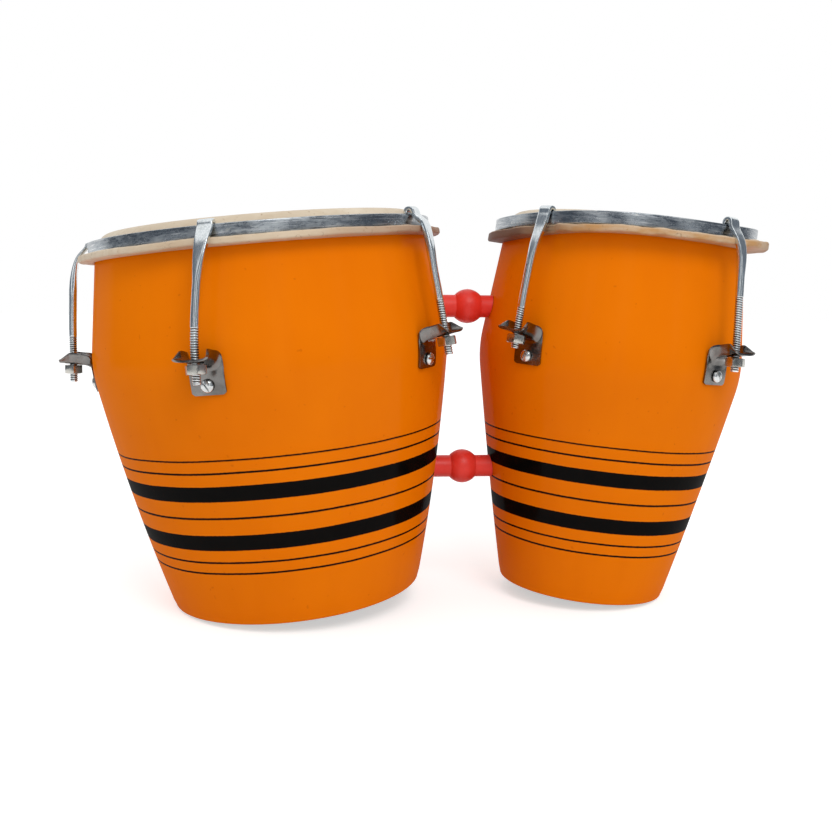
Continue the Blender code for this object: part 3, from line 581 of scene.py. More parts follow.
class Finish:
    """A material in the making: the nodes of its pattern, its colour so far and its relief so far."""

    def __init__(self, name, roughness, metallic=0.0, specular=0.5, drum=None):
        self.material = bpy.data.materials.new(name)
        self.material.use_nodes = True
        self.tree = self.material.node_tree
        self.shader = self.tree.nodes["Principled BSDF"]
        self.set("Roughness", roughness)
        self.set("Metallic", metallic)
        self.set("Specular IOR Level", specular)
        self.where = self.place(drum)
        self.colour = None
        self.surface = None

    def set(self, socket, value):
        self.shader.inputs[socket].default_value = value

    def place(self, drum):
        """Object coordinates, or coordinates with Z up the drum's own axis from its base."""
        place = add_node(self.tree, "ShaderNodeTexCoord").outputs["Object"]
        if not drum:
            return place
        values = {"Vector": place, "Location": drum.origin, "Rotation": (0, drum.lean, 0)}
        return add_node(self.tree, "ShaderNodeMapping", values, vector_type="TEXTURE").outputs["Vector"]

    def parts(self):
        return add_node(self.tree, "ShaderNodeSeparateXYZ", {"Vector": self.where}).outputs

    def cloud(self, scale, detail=3.0, roughness=0.5, distortion=0.0):
        """Cloudy noise, drawn out where the scale has three numbers."""
        where = self.where
        if isinstance(scale, tuple):
            values = {"Vector": where, "Scale": scale}
            where = add_node(self.tree, "ShaderNodeMapping", values).outputs["Vector"]
            scale = 1.0
        values = {"Vector": where, "Scale": scale, "Detail": detail, "Roughness": roughness}
        values["Distortion"] = distortion
        return add_node(self.tree, "ShaderNodeTexNoise", values).outputs["Fac"]

    def spread(self, *numbers):
        return spread(self.tree, *numbers)

    def times(self, first, second):
        return sum_up(self.tree, "MULTIPLY", first, second)

    def start_colour(self, pattern, low, high, first, second):
        self.colour = mix(self.tree, self.spread(pattern, low, high), first, second)

    def tint(self, factor, colour):
        """Lays a colour over the colour so far, where the factor says."""
        self.colour = mix(self.tree, factor, self.colour, colour)

    def stain(self, pattern, low, high, strength, colour):
        self.tint(self.spread(pattern, low, high, 0, strength), colour)

    def vary_roughness(self, pattern, least, most):
        self.tree.links.new(self.spread(pattern, 0.3, 0.7, least, most), self.shader.inputs["Roughness"])

    def relief(self, height, distance, strength):
        """Lays one more relief over the relief so far."""
        values = {"Height": height, "Distance": distance, "Strength": strength}
        if self.surface is not None:
            values["Normal"] = self.surface
        self.surface = add_node(self.tree, "ShaderNodeBump", values).outputs["Normal"]

    def done(self):
        self.tree.links.new(self.colour, self.shader.inputs["Base Color"])
        self.tree.links.new(self.surface, self.shader.inputs["Normal"])
        return self.material


def painted_lines(paint):
    """1 on the black lines and 0 between them, with a brush's slight wobble and ragged edges."""
    wobble = paint.spread(paint.cloud(24, 2), 0.3, 0.7, -0.00016, 0.00016)
    ragged = paint.spread(paint.cloud(620, 2), 0.3, 0.7, -0.00007, 0.00007)
    height = sum_up(paint.tree, "ADD", sum_up(paint.tree, "ADD", paint.parts()["Z"], wobble), ragged)
    low, high = STRIPE_BAND
    edge = STRIPE_EDGE / (high - low)
    node = add_node(paint.tree, "ShaderNodeValToRGB", {"Fac": paint.spread(height, low, high)})
    band = node.color_ramp
    while len(band.elements) < 4 * len(STRIPES):
        band.elements.new(0.5)
    places = []
    for stripe in STRIPES:
        start, end = [(side - low) / (high - low) for side in stripe]
        places += [(start - edge, 0), (start + edge, 1), (end - edge, 1), (end + edge, 0)]
    for element, (place, value) in zip(band.elements, places):
        element.position = place
        element.color = (value, value, value, 1)
    return node.outputs["Color"]


def lacquer_finish(drum):
    """Orange gloss lacquer with black lines."""
    paint = Finish(drum.name + "_orange_lacquer", 0.32, specular=0.0, drum=drum)
    paint.set("Coat Weight", 0.07)
    paint.set("Coat Roughness", 0.16)
    lines = painted_lines(paint)
    paint.start_colour(paint.cloud(9, 4, 0.55), 0.35, 0.65, (0.775, 0.170, 0.0007), (0.825, 0.190, 0.0009))
    paint.stain(paint.cloud((60, 60, 4)), 0.45, 0.75, 0.16, (0.69, 0.135, 0.0008))
    paint.stain(paint.cloud(260, 1), 0.74, 0.80, 0.35, (0.50, 0.085, 0.002))
    paint.tint(lines, mix(paint.tree, paint.cloud(150), (0.0015, 0.0013, 0.0012), (0.004, 0.0034, 0.003)))
    paint.vary_roughness(paint.cloud((14, 14, 5), 5, 0.6), 0.27, 0.42)
    paint.relief(paint.cloud(330, 2), 0.00005, 0.35)
    paint.relief(paint.cloud((6, 6, 700), 2), 0.00006, 0.3)
    paint.relief(lines, 0.00005, 0.6)
    return paint.done()


def bare_wood_finish(drum):
    """The unpainted inside of the shell: pale wood with long grain and tool marks."""
    wood = Finish(drum.name + "_bare_wood", 0.72, specular=0.3, drum=drum)
    grain = wood.cloud((150, 150, 7), 6, 0.65, 0.6)
    wood.start_colour(grain, 0.3, 0.7, (0.42, 0.235, 0.105), (0.60, 0.385, 0.19))
    wood.stain(wood.cloud((22, 22, 2.4), 4, 0.6, 1.2), 0.4, 0.7, 0.7, (0.30, 0.15, 0.06))
    wood.vary_roughness(grain, 0.62, 0.84)
    wood.relief(grain, 0.0003, 0.5)
    wood.relief(wood.cloud((5, 5, 420), 2), 0.0002, 0.4)
    return wood.done()


def rawhide_finish(drum):
    """Cream rawhide: mottled, with long fibres, browner on the lapped collar and scorched at its ends."""
    hide = Finish(drum.name + "_rawhide", 0.55, specular=0.32, drum=drum)
    parts = hide.parts()
    patches = hide.cloud(16, 5, 0.6)
    hide.start_colour(patches, 0.3, 0.7, (0.565, 0.455, 0.325), (0.745, 0.655, 0.52))
    fibres = hide.cloud((34, 260, 120), 5, 0.65, 0.8)
    hide.stain(fibres, 0.5, 0.78, 0.45, (0.50, 0.37, 0.23))
    hide.stain(hide.cloud(480, 2), 0.66, 0.76, 0.7, (0.30, 0.18, 0.09))

    side = sum_up(hide.tree, "DIVIDE", parts["X"], drum.rim_radius)
    bend = hide.times(hide.times(hide.times(side, side), side), drum.hoop_bend)
    level = sum_up(hide.tree, "SUBTRACT", parts["Z"], bend)
    seat = rim_seat(drum)
    on_collar = hide.spread(level, seat + 0.0012, seat - 0.0008)
    brown = hide.times(on_collar, hide.spread(hide.cloud((60, 60, 160), 4, 0.6), 0.3, 0.62, 0.4, 1))
    hide.tint(hide.times(brown, drum.collar_browning), (0.48, 0.235, 0.068))
    creases = hide.cloud(190, 5, 0.7, 1.6)
    hide.tint(hide.times(on_collar, hide.spread(creases, 0.60, 0.72, 0, 0.65)), (0.17, 0.085, 0.04))
    for start, end, strength, colour in drum.scorches:
        hide.tint(hide.times(on_collar, hide.spread(parts["X"], start, end, 0, strength)), colour)

    hide.vary_roughness(patches, 0.48, 0.66)
    hide.relief(fibres, 0.00018, 0.5)
    hide.relief(creases, 0.0004, 0.55)
    hide.relief(patches, 0.0008, 0.35)
    return hide.done()


def galvanised_finish(drum):
    """Galvanised band steel: dark mottled spangles with scratches that run round the hoop."""
    steel = Finish(drum.name + "_galvanised_band", 0.3, 1.0, drum=drum)
    spangles = steel.cloud((120, 120, 420), 6, 0.72, 0.5)
    steel.start_colour(spangles, 0.36, 0.64, (0.22, 0.25, 0.285), (0.58, 0.62, 0.64))
    broad = steel.cloud(21, 3, 0.5)
    steel.stain(broad, 0.35, 0.65, 0.55, (0.16, 0.185, 0.22))
    scratches = steel.cloud((30, 30, 1500), 4, 0.7, 0.2)
    steel.stain(scratches, 0.55, 0.66, 0.85, (0.90, 0.91, 0.91))
    steel.stain(steel.cloud(330, 3, 0.6), 0.62, 0.72, 0.7, (0.74, 0.74, 0.70))
    steel.vary_roughness(spangles, 0.18, 0.38)
    steel.relief(scratches, 0.00006, 0.5)
    steel.relief(spangles, 0.0002, 0.4)
    steel.relief(broad, 0.0010, 0.25)
    return steel.done()


def hook_steel_finish(drum):
    """Bright drawn steel, brushed along the hook, with painted shade, browned like grime, in the thread's
    roots.
    """
    steel = Finish(drum.name + "_hook_steel", 0.27, 1.0, drum=drum)
    brushing = steel.cloud((900, 900, 30), 3, 0.6)
    steel.start_colour(brushing, 0.3, 0.7, (0.60, 0.66, 0.69), (0.84, 0.87, 0.88))
    tarnish = steel.cloud(120, 5, 0.65)
    steel.stain(tarnish, 0.55, 0.75, 0.45, (0.38, 0.40, 0.38))
    root = add_node(steel.tree, "ShaderNodeAttribute", attribute_name="thread_root").outputs["Fac"]
    # Painted shade: the thread's roots are darkened to a dark brown, standing in for the shade that falls in
    # the grooves
    steel.tint(steel.times(root, steel.spread(tarnish, 0.25, 0.6, 0.75, 1.0)), (0.052, 0.036, 0.026))
    rough = sum_up(steel.tree, "ADD", steel.spread(tarnish, 0.3, 0.7, 0.13, 0.27), steel.times(root, 0.3))
    steel.tree.links.new(rough, steel.shader.inputs["Roughness"])
    steel.relief(brushing, 0.00004, 0.35)
    steel.relief(tarnish, 0.0001, 0.2)
    return steel.done()


def plated_finish(name, dark, light, roughness, worn):
    """Plated steel with cloudy plating, fine handling scratches and duller worn patches."""
    steel = Finish(name, roughness, 1.0)
    clouds = steel.cloud(75, 4, 0.55, 0.6)
    steel.start_colour(clouds, 0.3, 0.7, dark, light)
    steel.stain(steel.cloud(520, 4, 0.7), 0.55, 0.75, 0.45, worn)
    steel.vary_roughness(clouds, roughness - 0.08, roughness + 0.14)
    steel.relief(steel.cloud((300, 1800, 600), 3, 0.6), 0.00004, 0.4)
    steel.relief(clouds, 0.0002, 0.2)
    return steel.done()


def red_finish():
    """Satin red moulding, a little scuffed."""
    red = Finish("red_moulding", 0.42, specular=0.4)
    clouds = red.cloud(45, 4, 0.6)
    red.start_colour(clouds, 0.35, 0.65, (0.76, 0.032, 0.019), (0.86, 0.052, 0.034))
    scuffs = red.cloud(420, 4, 0.7, 1.0)
    red.stain(scuffs, 0.60, 0.78, 0.5, (0.86, 0.16, 0.12))
    red.vary_roughness(clouds, 0.36, 0.52)
    red.relief(scuffs, 0.00012, 0.4)
    red.relief(red.cloud(1100, 2), 0.00005, 0.4)
    return red.done()


# Wooden shells


def shell_outline(drum):
    """Up the outside from the base, over the bearing edge and down the inside."""
    outline = []
    for i in range(5):
        turn = math.pi / 2 * i / 4
        radius = drum.base_radius - BASE_ROUNDING * (1 - math.sin(turn))
        outline.append((radius, BASE_ROUNDING * (1 - math.cos(turn))))
    edge = drum.height - BEARING_EDGE_DROP
    flank_steps = 56
    for i in range(1, flank_steps):
        height = BASE_ROUNDING + (edge - BASE_ROUNDING) * i / flank_steps
        outline.append((flank_radius(drum, height), height))
    outline += bearing_edge(drum, 9)
    inner_top = drum.height - INNER_EDGE_DROP
    inner_steps = 16
    for i in range(inner_steps + 1):
        height = inner_top * (1 - i / inner_steps)
        outline.append((flank_radius(drum, height) - drum.wall, height))
    return outline


def facing_wall(drum, level):
    """Where the outer wall that faces the other drum meets a level line, as a world X."""
    facing = 1 if drum is LARGE else -1
    along = level
    for _ in range(20):
        rise = facing * flank_radius(drum, along) * math.sin(drum.lean)
        along = (level - drum.origin[2] + rise) / math.cos(drum.lean)
    reach = along * math.sin(drum.lean) + facing * flank_radius(drum, along) * math.cos(drum.lean)
    return drum.origin[0] + reach


def level_place(x, height):
    """A frame on a tie bolt's line, with its Z along +X."""
    return Matrix.Translation((x, 0, height)) @ Matrix.Rotation(math.pi / 2, 4, "Y")


def drill_ties(shell, drum):
    """Bolt holes through the wall and the spot faces that the washers sit on."""
    inward = -1 if drum is LARGE else 1
    for level in (UPPER_TIE_HEIGHT, LOWER_TIE_HEIGHT):
        seat = facing_wall(drum, level) + inward * SPOT_FACE_WALL
        place = level_place(seat, level)
        if drum is LARGE:
            place = place @ Matrix.Rotation(math.pi, 4, "Y")
        cut_away(shell, drill(TIE_DIAMETER / 2 + HOLE_ROOM, -SPOT_FACE_REACH, SPOT_FACE_REACH, place))
        cut_away(shell, drill(WASHER_DIAMETER / 2 + 2 * HOLE_ROOM, 0, SPOT_FACE_REACH, place, 64))


def drill_screw_holes(shell, drum):
    for degrees in drum.lug_degrees:
        place = lug_place(drum, degrees) @ screw_place(drum, 0)
        cut_away(shell, drill(SCREW_SHANK_DIAMETER / 2 + HOLE_ROOM, -SCREW_HOLE_DEPTH, 0.0026, place, 24))


def paint_inside(shell, drum):
    """Gives the second finish to the faces of the inside, and of the base."""
    back = drum_place(drum).inverted()
    middle = drum.wall / 2
    edit(shell)
    bpy.ops.mesh.select_all(action="DESELECT")
    bm = bmesh.from_edit_mesh(shell.data)
    for face in bm.faces:
        centre = back @ face.calc_center_median()
        radius = math.hypot(centre.x, centre.y)
        inside = radius < flank_radius(drum, centre.z) - middle
        face.select_set(inside or centre.z < 0.0002)
    bmesh.update_edit_mesh(shell.data)
    shell.active_material_index = 1
    bpy.ops.object.material_slot_assign()
    leave_edit()


def make_shell(drum):
    shell = turn_on_lathe(drum.name + "_turned_shell", shell_outline(drum), closed=True)
    set_down(shell, drum_place(drum))
    drill_ties(shell, drum)
    drill_screw_holes(shell, drum)
    finishes = [lacquer_finish(drum), bare_wood_finish(drum)]
    hand_over(shell, drum.name + "_shell", "shells", finishes)
    paint_inside(shell, drum)


# Heads


def collar_tuck(drum, azimuth):
    """How far the collar is pressed in at the nearest hook, falling to nothing beside it."""
    most = 0
    for degrees, tuck in zip(drum.lug_degrees, drum.collar_tucks):
        apart = abs((azimuth - math.radians(degrees) + math.pi) % (2 * math.pi) - math.pi)
        most = max(most, tuck * (1 - smooth_step(math.radians(4), math.radians(10), apart)))
    return most


def collar_reach(drum, azimuth, wave, ripple):
    """How far the collar's edge stands out and up from its true place: dry hide, the small one more bent."""
    if drum is LARGE:
        return 0.0003 * wave + 0.0002 * ripple, 0.0005 * wave + 0.00025 * ripple
    flare = max(math.cos(azimuth - math.radians(-15)), 0) ** 3
    shrink = max(-math.cos(azimuth), 0) ** 3
    out = 0.0012 + 0.0008 * wave + 0.0012 * flare - 0.0038 * shrink - collar_tuck(drum, azimuth)
    up = 0.0010 * math.cos(azimuth) + 0.0009 * wave + 0.0006 * ripple
    return out, up


def shape_collar(piece, drum):
    """Bends the lapped collar with its hoop and lets its edge ripple and flare as dry hide does."""
    hold = drum.rim_radius + 0.0002
    tip = collar_point(drum, drum.flesh_width + SEAT_GAP + SKIN_THICKNESS, 0)[0]
    corner_radius, corner_height = collar_point(drum, 0, 0)
    crest = drum.height - 0.0015
    for vertex in piece.data.vertices:
        radius = math.hypot(vertex.co.x, vertex.co.y)
        if vertex.co.z > crest or radius < drum.rim_radius - 0.014:
            continue
        azimuth = math.atan2(vertex.co.y, vertex.co.x)
        way = Vector((math.cos(azimuth), math.sin(azimuth), 0))
        level = vertex.co.z if radius < corner_radius else corner_height
        share = min(max((crest - level) / (crest - corner_height), 0), 1)
        at_edge = smooth_step(hold, tip, radius)
        above = smooth_step(corner_height - 0.0004, corner_height + 0.0008, vertex.co.z)
        under = 1 if radius < corner_radius else 1 - above
        sag = drum.collar_sag * abs(math.cos(azimuth)) ** 3 * under * (1 - 0.5 * at_edge)
        lift = (hoop_lift(drum, azimuth) - sag) * share
        push = max(edge_radius(drum, level + lift) - edge_radius(drum, level), 0)
        wave = noise.noise(way * 5.2 + Vector((0, 0, 3.1 if drum is SMALL else 7.7)))
        ripple = noise.noise(way * 17 + Vector((0, 0, 1.3)))
        out, up = collar_reach(drum, azimuth, wave, ripple)
        vertex.co += way * (push + out * at_edge)
        vertex.co.z += lift + up * at_edge


def lap_corner(drum, along, above, start, end, steps, reach):
    """An arc of the skin's middle line round one corner of the flesh hoop."""
    points = []
    for i in range(steps + 1):
        turn = math.radians(start + (end - start) * i / steps)
        points.append(collar_point(drum, along + reach * math.cos(turn), above + reach * math.sin(turn)))
    return points


def skin_outline(drum):
    """The skin's middle line: over the head, down the flank, out under the flesh hoop and back over it."""
    cover = SEAT_GAP + SKIN_THICKNESS / 2
    edge = bearing_edge(drum, 8)[::-1]
    over_edge = offset_line(edge, cover)
    crown = drum.height + cover
    first = over_edge[0][0]
    disc = [(first * i / 9, crown) for i in range(9)]
    inner_corner = lap_corner(drum, 0, 0, 200, 270, 3, cover)
    line = disc + [point for point in over_edge if point[1] > inner_corner[0][1] + cover]
    line += inner_corner
    line += lap_corner(drum, drum.flesh_width, 0, 270, 360, 5, cover)
    line += lap_corner(drum, drum.flesh_width, FLESH_HOOP_THICKNESS, 0, 90, 5, cover)
    line.append(collar_point(drum, SKIN_LAP_START, FLESH_HOOP_THICKNESS + cover))
    return line


def make_skin(drum):
    middle = skin_outline(drum)
    upper = offset_line(middle, SKIN_THICKNESS / 2)
    lower = offset_line(middle, -SKIN_THICKNESS / 2)
    upper[0] = (0, upper[0][1])
    lower[0] = (0, lower[0][1])
    skin = turn_on_lathe(drum.name + "_rawhide_head", upper + lower[::-1])
    shape_collar(skin, drum)
    place = drum_place(drum)
    hand_over(skin, drum.name + "_head_skin", None, [rawhide_finish(drum)], place, 60)
    end = place @ Vector((0, 0, rim_seat(drum) + 0.0002))
    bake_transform(skin)


def make_flesh_hoop(drum, tension, finish):
    """The flat ring inside the lapped skin, bent with the collar."""
    across = [drum.flesh_width * share for share in (0, 0.4, 0.7, 1)]
    outline = [collar_point(drum, along, 0) for along in across]
    outline += [collar_point(drum, along, FLESH_HOOP_THICKNESS) for along in across[::-1]]
    hoop = turn_on_lathe(drum.name + "_lapped_ring", outline, closed=True)
    shape_collar(hoop, drum)
    node = drum.name + "_flesh_hoop"
    hand_over(hoop, node, tension, [finish], drum_place(drum))


def rounded_section(inner, outer, bottom, top, rounding, steps):
    """The outline of a ring's section, with its four corners rounded, or cut off where steps is 1."""
    outline = []
    for quarter in range(4):
        centre_x = outer - rounding if quarter < 2 else inner + rounding
        centre_z = top - rounding if quarter in (1, 2) else bottom + rounding
        for i in range(steps + 1):
            turn = math.pi / 2 * (quarter - 1 + i / steps)
            outline.append((centre_x + rounding * math.cos(turn), centre_z + rounding * math.sin(turn)))
    return outline


def make_rim_hoop(drum, tension, finish):
    """A flat steel band on edge, with rolled edges."""
    top = rim_top(drum)
    inner, bottom = drum.rim_radius - RIM_THICKNESS, top - drum.rim_height
    outline = rounded_section(inner, drum.rim_radius, bottom, top, RIM_ROUNDING, 4)
    hoop = turn_on_lathe(drum.name + "_band_hoop", outline, closed=True)
    for vertex in hoop.data.vertices:
        vertex.co.z += hoop_lift(drum, math.atan2(vertex.co.y, vertex.co.x))
    hand_over(hoop, drum.name + "_rim_hoop", tension, [finish], drum_place(drum))


# Claw hooks


def claw_thickness(drum, number):
    """Thickness of the arch, thinner where the hook sits low on the hoop."""
    return min(CLAW_THICKNESS, drum.claw_rises[number - 1] - SEAT_GAP)


def hook_middle_line(drum, number, top):
    """Points of the hook's middle line as (radius, height), from its lip over the hoop to its thread."""
    thickness = claw_thickness(drum, number)
    lip = drum.rim_radius - RIM_THICKNESS - LIP_GAP - LIP_THICKNESS / 2
    claw = drum.rim_radius + CLAW_GAP + CLAW_THICKNESS / 2
    rise = drum.claw_rises[number - 1]
    crown = top + rise - thickness / 2 + 0.0001
    quarter = (claw - lip) / 4
    points = [
        (lip, top - LIP_LENGTH),
        (lip, top - LIP_LENGTH / 3),
        (lip, top + rise * 0.4),
        (lip + quarter, crown),
        (claw - quarter, crown),
        (claw, top + rise * 0.4),
        (claw, top - LIP_LENGTH / 3),
    ]
    end = drum.thread_above_lug[number - 1] + THREAD_RUN_OUT
    bends = drum.hook_bends[(number - 1) % len(drum.hook_bends)]
    points += [bend for bend in bends if bend[1] > drum.lug_height + end + 0.008]
    points += [tuple(lug_point(drum) + rod_way(drum) * above) for above in (end + 0.005, end)]
    return points


def even_line(points, step):
    """A smooth line through points, cut into even steps."""
    fine = bent_line(points, 16)
    lengths = [0.0]
    for before, after in zip(fine, fine[1:]):
        lengths.append(lengths[-1] + (after - before).length)
    count = round(lengths[-1] / step)
    line = []
    k = 0
    for i in range(count + 1):
        target = lengths[-1] * i / count
        while k < len(fine) - 2 and lengths[k + 1] < target:
            k += 1
        share = (target - lengths[k]) / (lengths[k + 1] - lengths[k])
        line.append(fine[k].lerp(fine[k + 1], min(max(share, 0), 1)))
    return line


def hook_section(point, way, width, thickness, boxiness, count, wobble=None):
    """A ring across the hook: a rounded flat bar at the top, a round rod below."""
    side = Vector((way.y, -way.x))
    ring = []
    for i in range(count):
        turn = 2 * math.pi * (i + 0.5) / count
        cosine, sine = math.cos(turn), math.sin(turn)
        across = math.copysign(abs(cosine) ** (2 / boxiness), cosine) * width / 2
        through = math.copysign(abs(sine) ** (2 / boxiness), sine) * thickness / 2
        if wobble:
            across *= wobble[i]
            through *= wobble[i]
        middle = point + side * through
        ring.append(Vector((middle.x, across, middle.y)))
    return ring


def thread_groove(along, share):
    """Depth of the thread, from 0 at its crest to 1 at its root, at a place along and a share of a turn."""
    t = (along / THREAD_PITCH - share) % 1
    return min(max(1.6 * (1 - abs(2 * t - 1)) - 0.35, 0), 1)


def turned(ring, drum, number, top, height):
    """A section carried round the drum where the claw stands to one side of its lug."""
    low, high = drum.lug_height + 0.004, top - 0.006
    share = min(max((height - low) / (high - low), 0), 1) ** drum.claw_sweeps[number - 1]
    turn = Matrix.Rotation(math.radians(drum.claw_turns[number - 1]) * share, 3, "Z")
    return [turn @ point for point in ring]


def forged_shape(drum, number, top, point):
    """Width, thickness and boxiness of the hook's section: flat at the claw, round further down."""
    arch = claw_thickness(drum, number)
    middle = drum.rim_radius - RIM_THICKNESS / 2
    past_claw = top - point.y if point.x > middle else -0.01
    narrow = min(max(past_claw / FORGED_LENGTH, 0), 1)
    narrow = 0.6 * narrow + 0.4 * smooth_step(0, FORGED_LENGTH, past_claw)
    width = drum.claw_width + (ROD_DIAMETER - drum.claw_width) * narrow
    thickness = arch + (ROD_DIAMETER - arch) * smooth_step(0, 0.029, past_claw)
    if point.x < middle:
        over_hoop = smooth_step(top - 0.0006, top + 0.0012, point.y)
        thickness = LIP_THICKNESS + (arch - LIP_THICKNESS) * over_hoop
    return width, thickness, 7 - 5 * smooth_step(0.004, 0.032, past_claw)


def forged_sections(drum, number, top, line):
    """Sections from the lip's rounded end, over the claw and down to the thread."""
    sections = []
    for i, point in enumerate(line):
        way = (line[min(i + 1, len(line) - 1)] - line[max(i - 1, 0)]).normalized()
        width, thickness, boxiness = forged_shape(drum, number, top, point)
        for share in (0.45, 0.85, 1) if i == 0 else (1,):
            ring = hook_section(point, way, width * share, thickness * share, boxiness, HOOK_SIDES)
            sections.append(turned(ring, drum, number, top, point.y))
    return sections


def make_hook(drum, number, degrees, tension, finish):
    """One hook, forged flat at the claw and left round and threaded at the foot."""
    top = rim_top(drum) + hoop_lift(drum, math.radians(degrees))
    line = even_line(hook_middle_line(drum, number, top), HOOK_STEP)
    sections = forged_sections(drum, number, top, line)
    roots = [[0] * HOOK_SIDES for _ in sections]

    start = line[-1]
    foot = rod_foot(drum)
    length = (start - foot).length
    way = (foot - start).normalized()
    step = THREAD_PITCH / 7
    for i in range(1, int(length / step) + 1):
        along = i * step
        fade = smooth_step(THREAD_RUN_OUT, THREAD_RUN_OUT + 0.0012, along)
        fade *= 1 - smooth_step(length - 0.0009, length - 0.0002, along)
        grooves = [fade * thread_groove(along, (k + 0.5) / HOOK_SIDES) for k in range(HOOK_SIDES)]
        wobble = [1 - groove * THREAD_DEPTH / (ROD_DIAMETER / 2) for groove in grooves]
        size = ROD_DIAMETER * (1 - 0.14 * smooth_step(length - 0.0008, length, along))
        point = start + way * along
        ring = hook_section(point, way, size, size, 2, HOOK_SIDES, wobble)
        sections.append(turned(ring, drum, number, top, point.y))
        roots.append(grooves)
    for share in (0.8, 0.4):
        sections.append(hook_section(foot, way, ROD_DIAMETER * share, ROD_DIAMETER * share, 2, HOOK_SIDES))
        roots.append([0] * HOOK_SIDES)

    hook = extrude_sections(f"{drum.name}_forged_hook_{number}", sections)
    order = [item.value for item in hook.data.attributes["order"].data]
    # How deep each vertex lies in the thread; the hook's finish darkens the roots with it as painted shade
    depth = hook.data.attributes.new("thread_root", "FLOAT", "POINT")
    row_of = {}
    for vertex in hook.data.vertices:
        row = row_of.get(order[vertex.index], 0)
        row_of[order[vertex.index]] = row + 1
        depth.data[vertex.index].value = roots[min(row, len(roots) - 1)][order[vertex.index]]
    hook.data.attributes.remove(hook.data.attributes["order"])
    place = lug_place(drum, degrees)
    hand_over(hook, f"{drum.name}_hook_{number}", tension, [finish], place, 50)


# Tuning nuts, brackets and screws


def six_sided(name, across_flats, height, bore):
    """A nut, or a bolt's head without a bore, with turned-off corners and its middle at the origin."""
    corner = hexagon_corner(across_flats)
    nut = new_shape(name, bpy.ops.mesh.primitive_cylinder_add, vertices=6, radius=corner, depth=height)
    face = across_flats / 2 * 0.97
    drop = (corner - face) * math.tan(math.radians(32))
    outside, top = corner + 0.0002, height / 2 + 0.0001
    outline = [(0, -top), (face, -top), (outside, drop - height / 2)]
    outline += [(radius, -level) for radius, level in outline[::-1]]
    cut_away(nut, turn_on_lathe("corner_cutter", outline, steps=72), "INTERSECT")
    if bore:
        cut_away(nut, drill(bore / 2, -height, height, Matrix.Identity(4)))
    soften_edges(nut, 0.00012, 25)
    return nut


def bracket_rows(drum):
    """Rows of the pressed sheet as (radius, height, half width, wing), from the plate's foot to the front."""
    cover = SEAT_GAP + BRACKET_THICKNESS / 2
    foot = drum.lug_height - SCREW_DROP - PLATE_BELOW_SCREW
    head = drum.lug_height - PLATE_TOP_DROP
    lug = lug_point(drum)
    outward = Vector((math.cos(BRACKET_TILT), math.sin(BRACKET_TILT)))
    plate_head = Vector((flank_radius(drum, head) + cover, head))
    corner = lug + outward * ((plate_head.x - lug.x) / outward.x)
    arch_end = lug - outward * 0.006
    rows = []
    for share in (0, 0.1, 0.2, 0.35, 0.5, 0.65, 0.8):
        height = foot + (head - foot) * share
        from_foot = height - foot
        left = max(BRACKET_CORNER - from_foot, 0)
        half = BRACKET_HALF_WIDTH - BRACKET_CORNER + math.sqrt(BRACKET_CORNER**2 - left**2)
        rows.append((flank_radius(drum, height) + cover, height, half, WING * smooth_step(0.55, 1.0, share)))
    arch = 6
    for i in range(arch + 1):
        t = i / arch
        point = plate_head * (1 - t) ** 2 + corner * (2 * t * (1 - t)) + arch_end * t**2
        rows.append((point.x, point.y, BRACKET_HALF_WIDTH - 0.0022 * t, WING - 0.0014 * t))
    for along, half, wing in TONGUE:
        point = lug + outward * along
        rows.append((point.x, point.y, half, wing))
    return rows


def make_bracket(drum):
    """One bracket, pressed from a flat sheet blank and drilled for the rod and the screw."""
    rows = spline(bracket_rows(drum), 3)
    last = len(rows) - 1
    add_grid = bpy.ops.mesh.primitive_grid_add
    sheet = new_shape(drum.name + "_bracket_blank", add_grid, x_subdivisions=24, y_subdivisions=last, size=2)
    flat_share = 0.35
    plate_top = drum.lug_height - PLATE_TOP_DROP
    for vertex in sheet.data.vertices:
        across = vertex.co.x
        radius, height, half, wing = rows[round((vertex.co.y + 1) / 2 * last)]
        flat = min(BRACKET_FLAT, half)
        side = abs(across) * (1 + flat_share)
        if side <= flat_share:
            reach, lift = side / flat_share * flat, 0
        else:
            turn = (side - flat_share) * math.pi / 2
            reach, lift = flat + (half - flat) * math.sin(turn), wing * (1 - math.cos(turn))
        on_plate = 1 - smooth_step(plate_top - 0.003, plate_top, height)
        hollow = on_plate * (radius - math.sqrt(radius**2 - reach**2)) * 0.8
        vertex.co = (radius - hollow, math.copysign(reach, across), height + lift)
    apply_modifier(sheet, "SOLIDIFY", thickness=BRACKET_THICKNESS - 0.0001, offset=0, use_even_offset=True)
    edit(sheet)
    bpy.ops.mesh.select_all(action="SELECT")
    bpy.ops.mesh.normals_make_consistent(inside=False)
    leave_edit()
    cut_away(sheet, drill(ROD_DIAMETER / 2 + ROD_HOLE_ROOM, -0.006, 0.006, rod_frame(drum, lug_point(drum))))
    cut_away(sheet, drill(SCREW_SHANK_DIAMETER / 2 + HOLE_ROOM, -0.003, 0.003, screw_place(drum, 0), 32))
    soften_edges(sheet, 0.00022, 50)
    return sheet


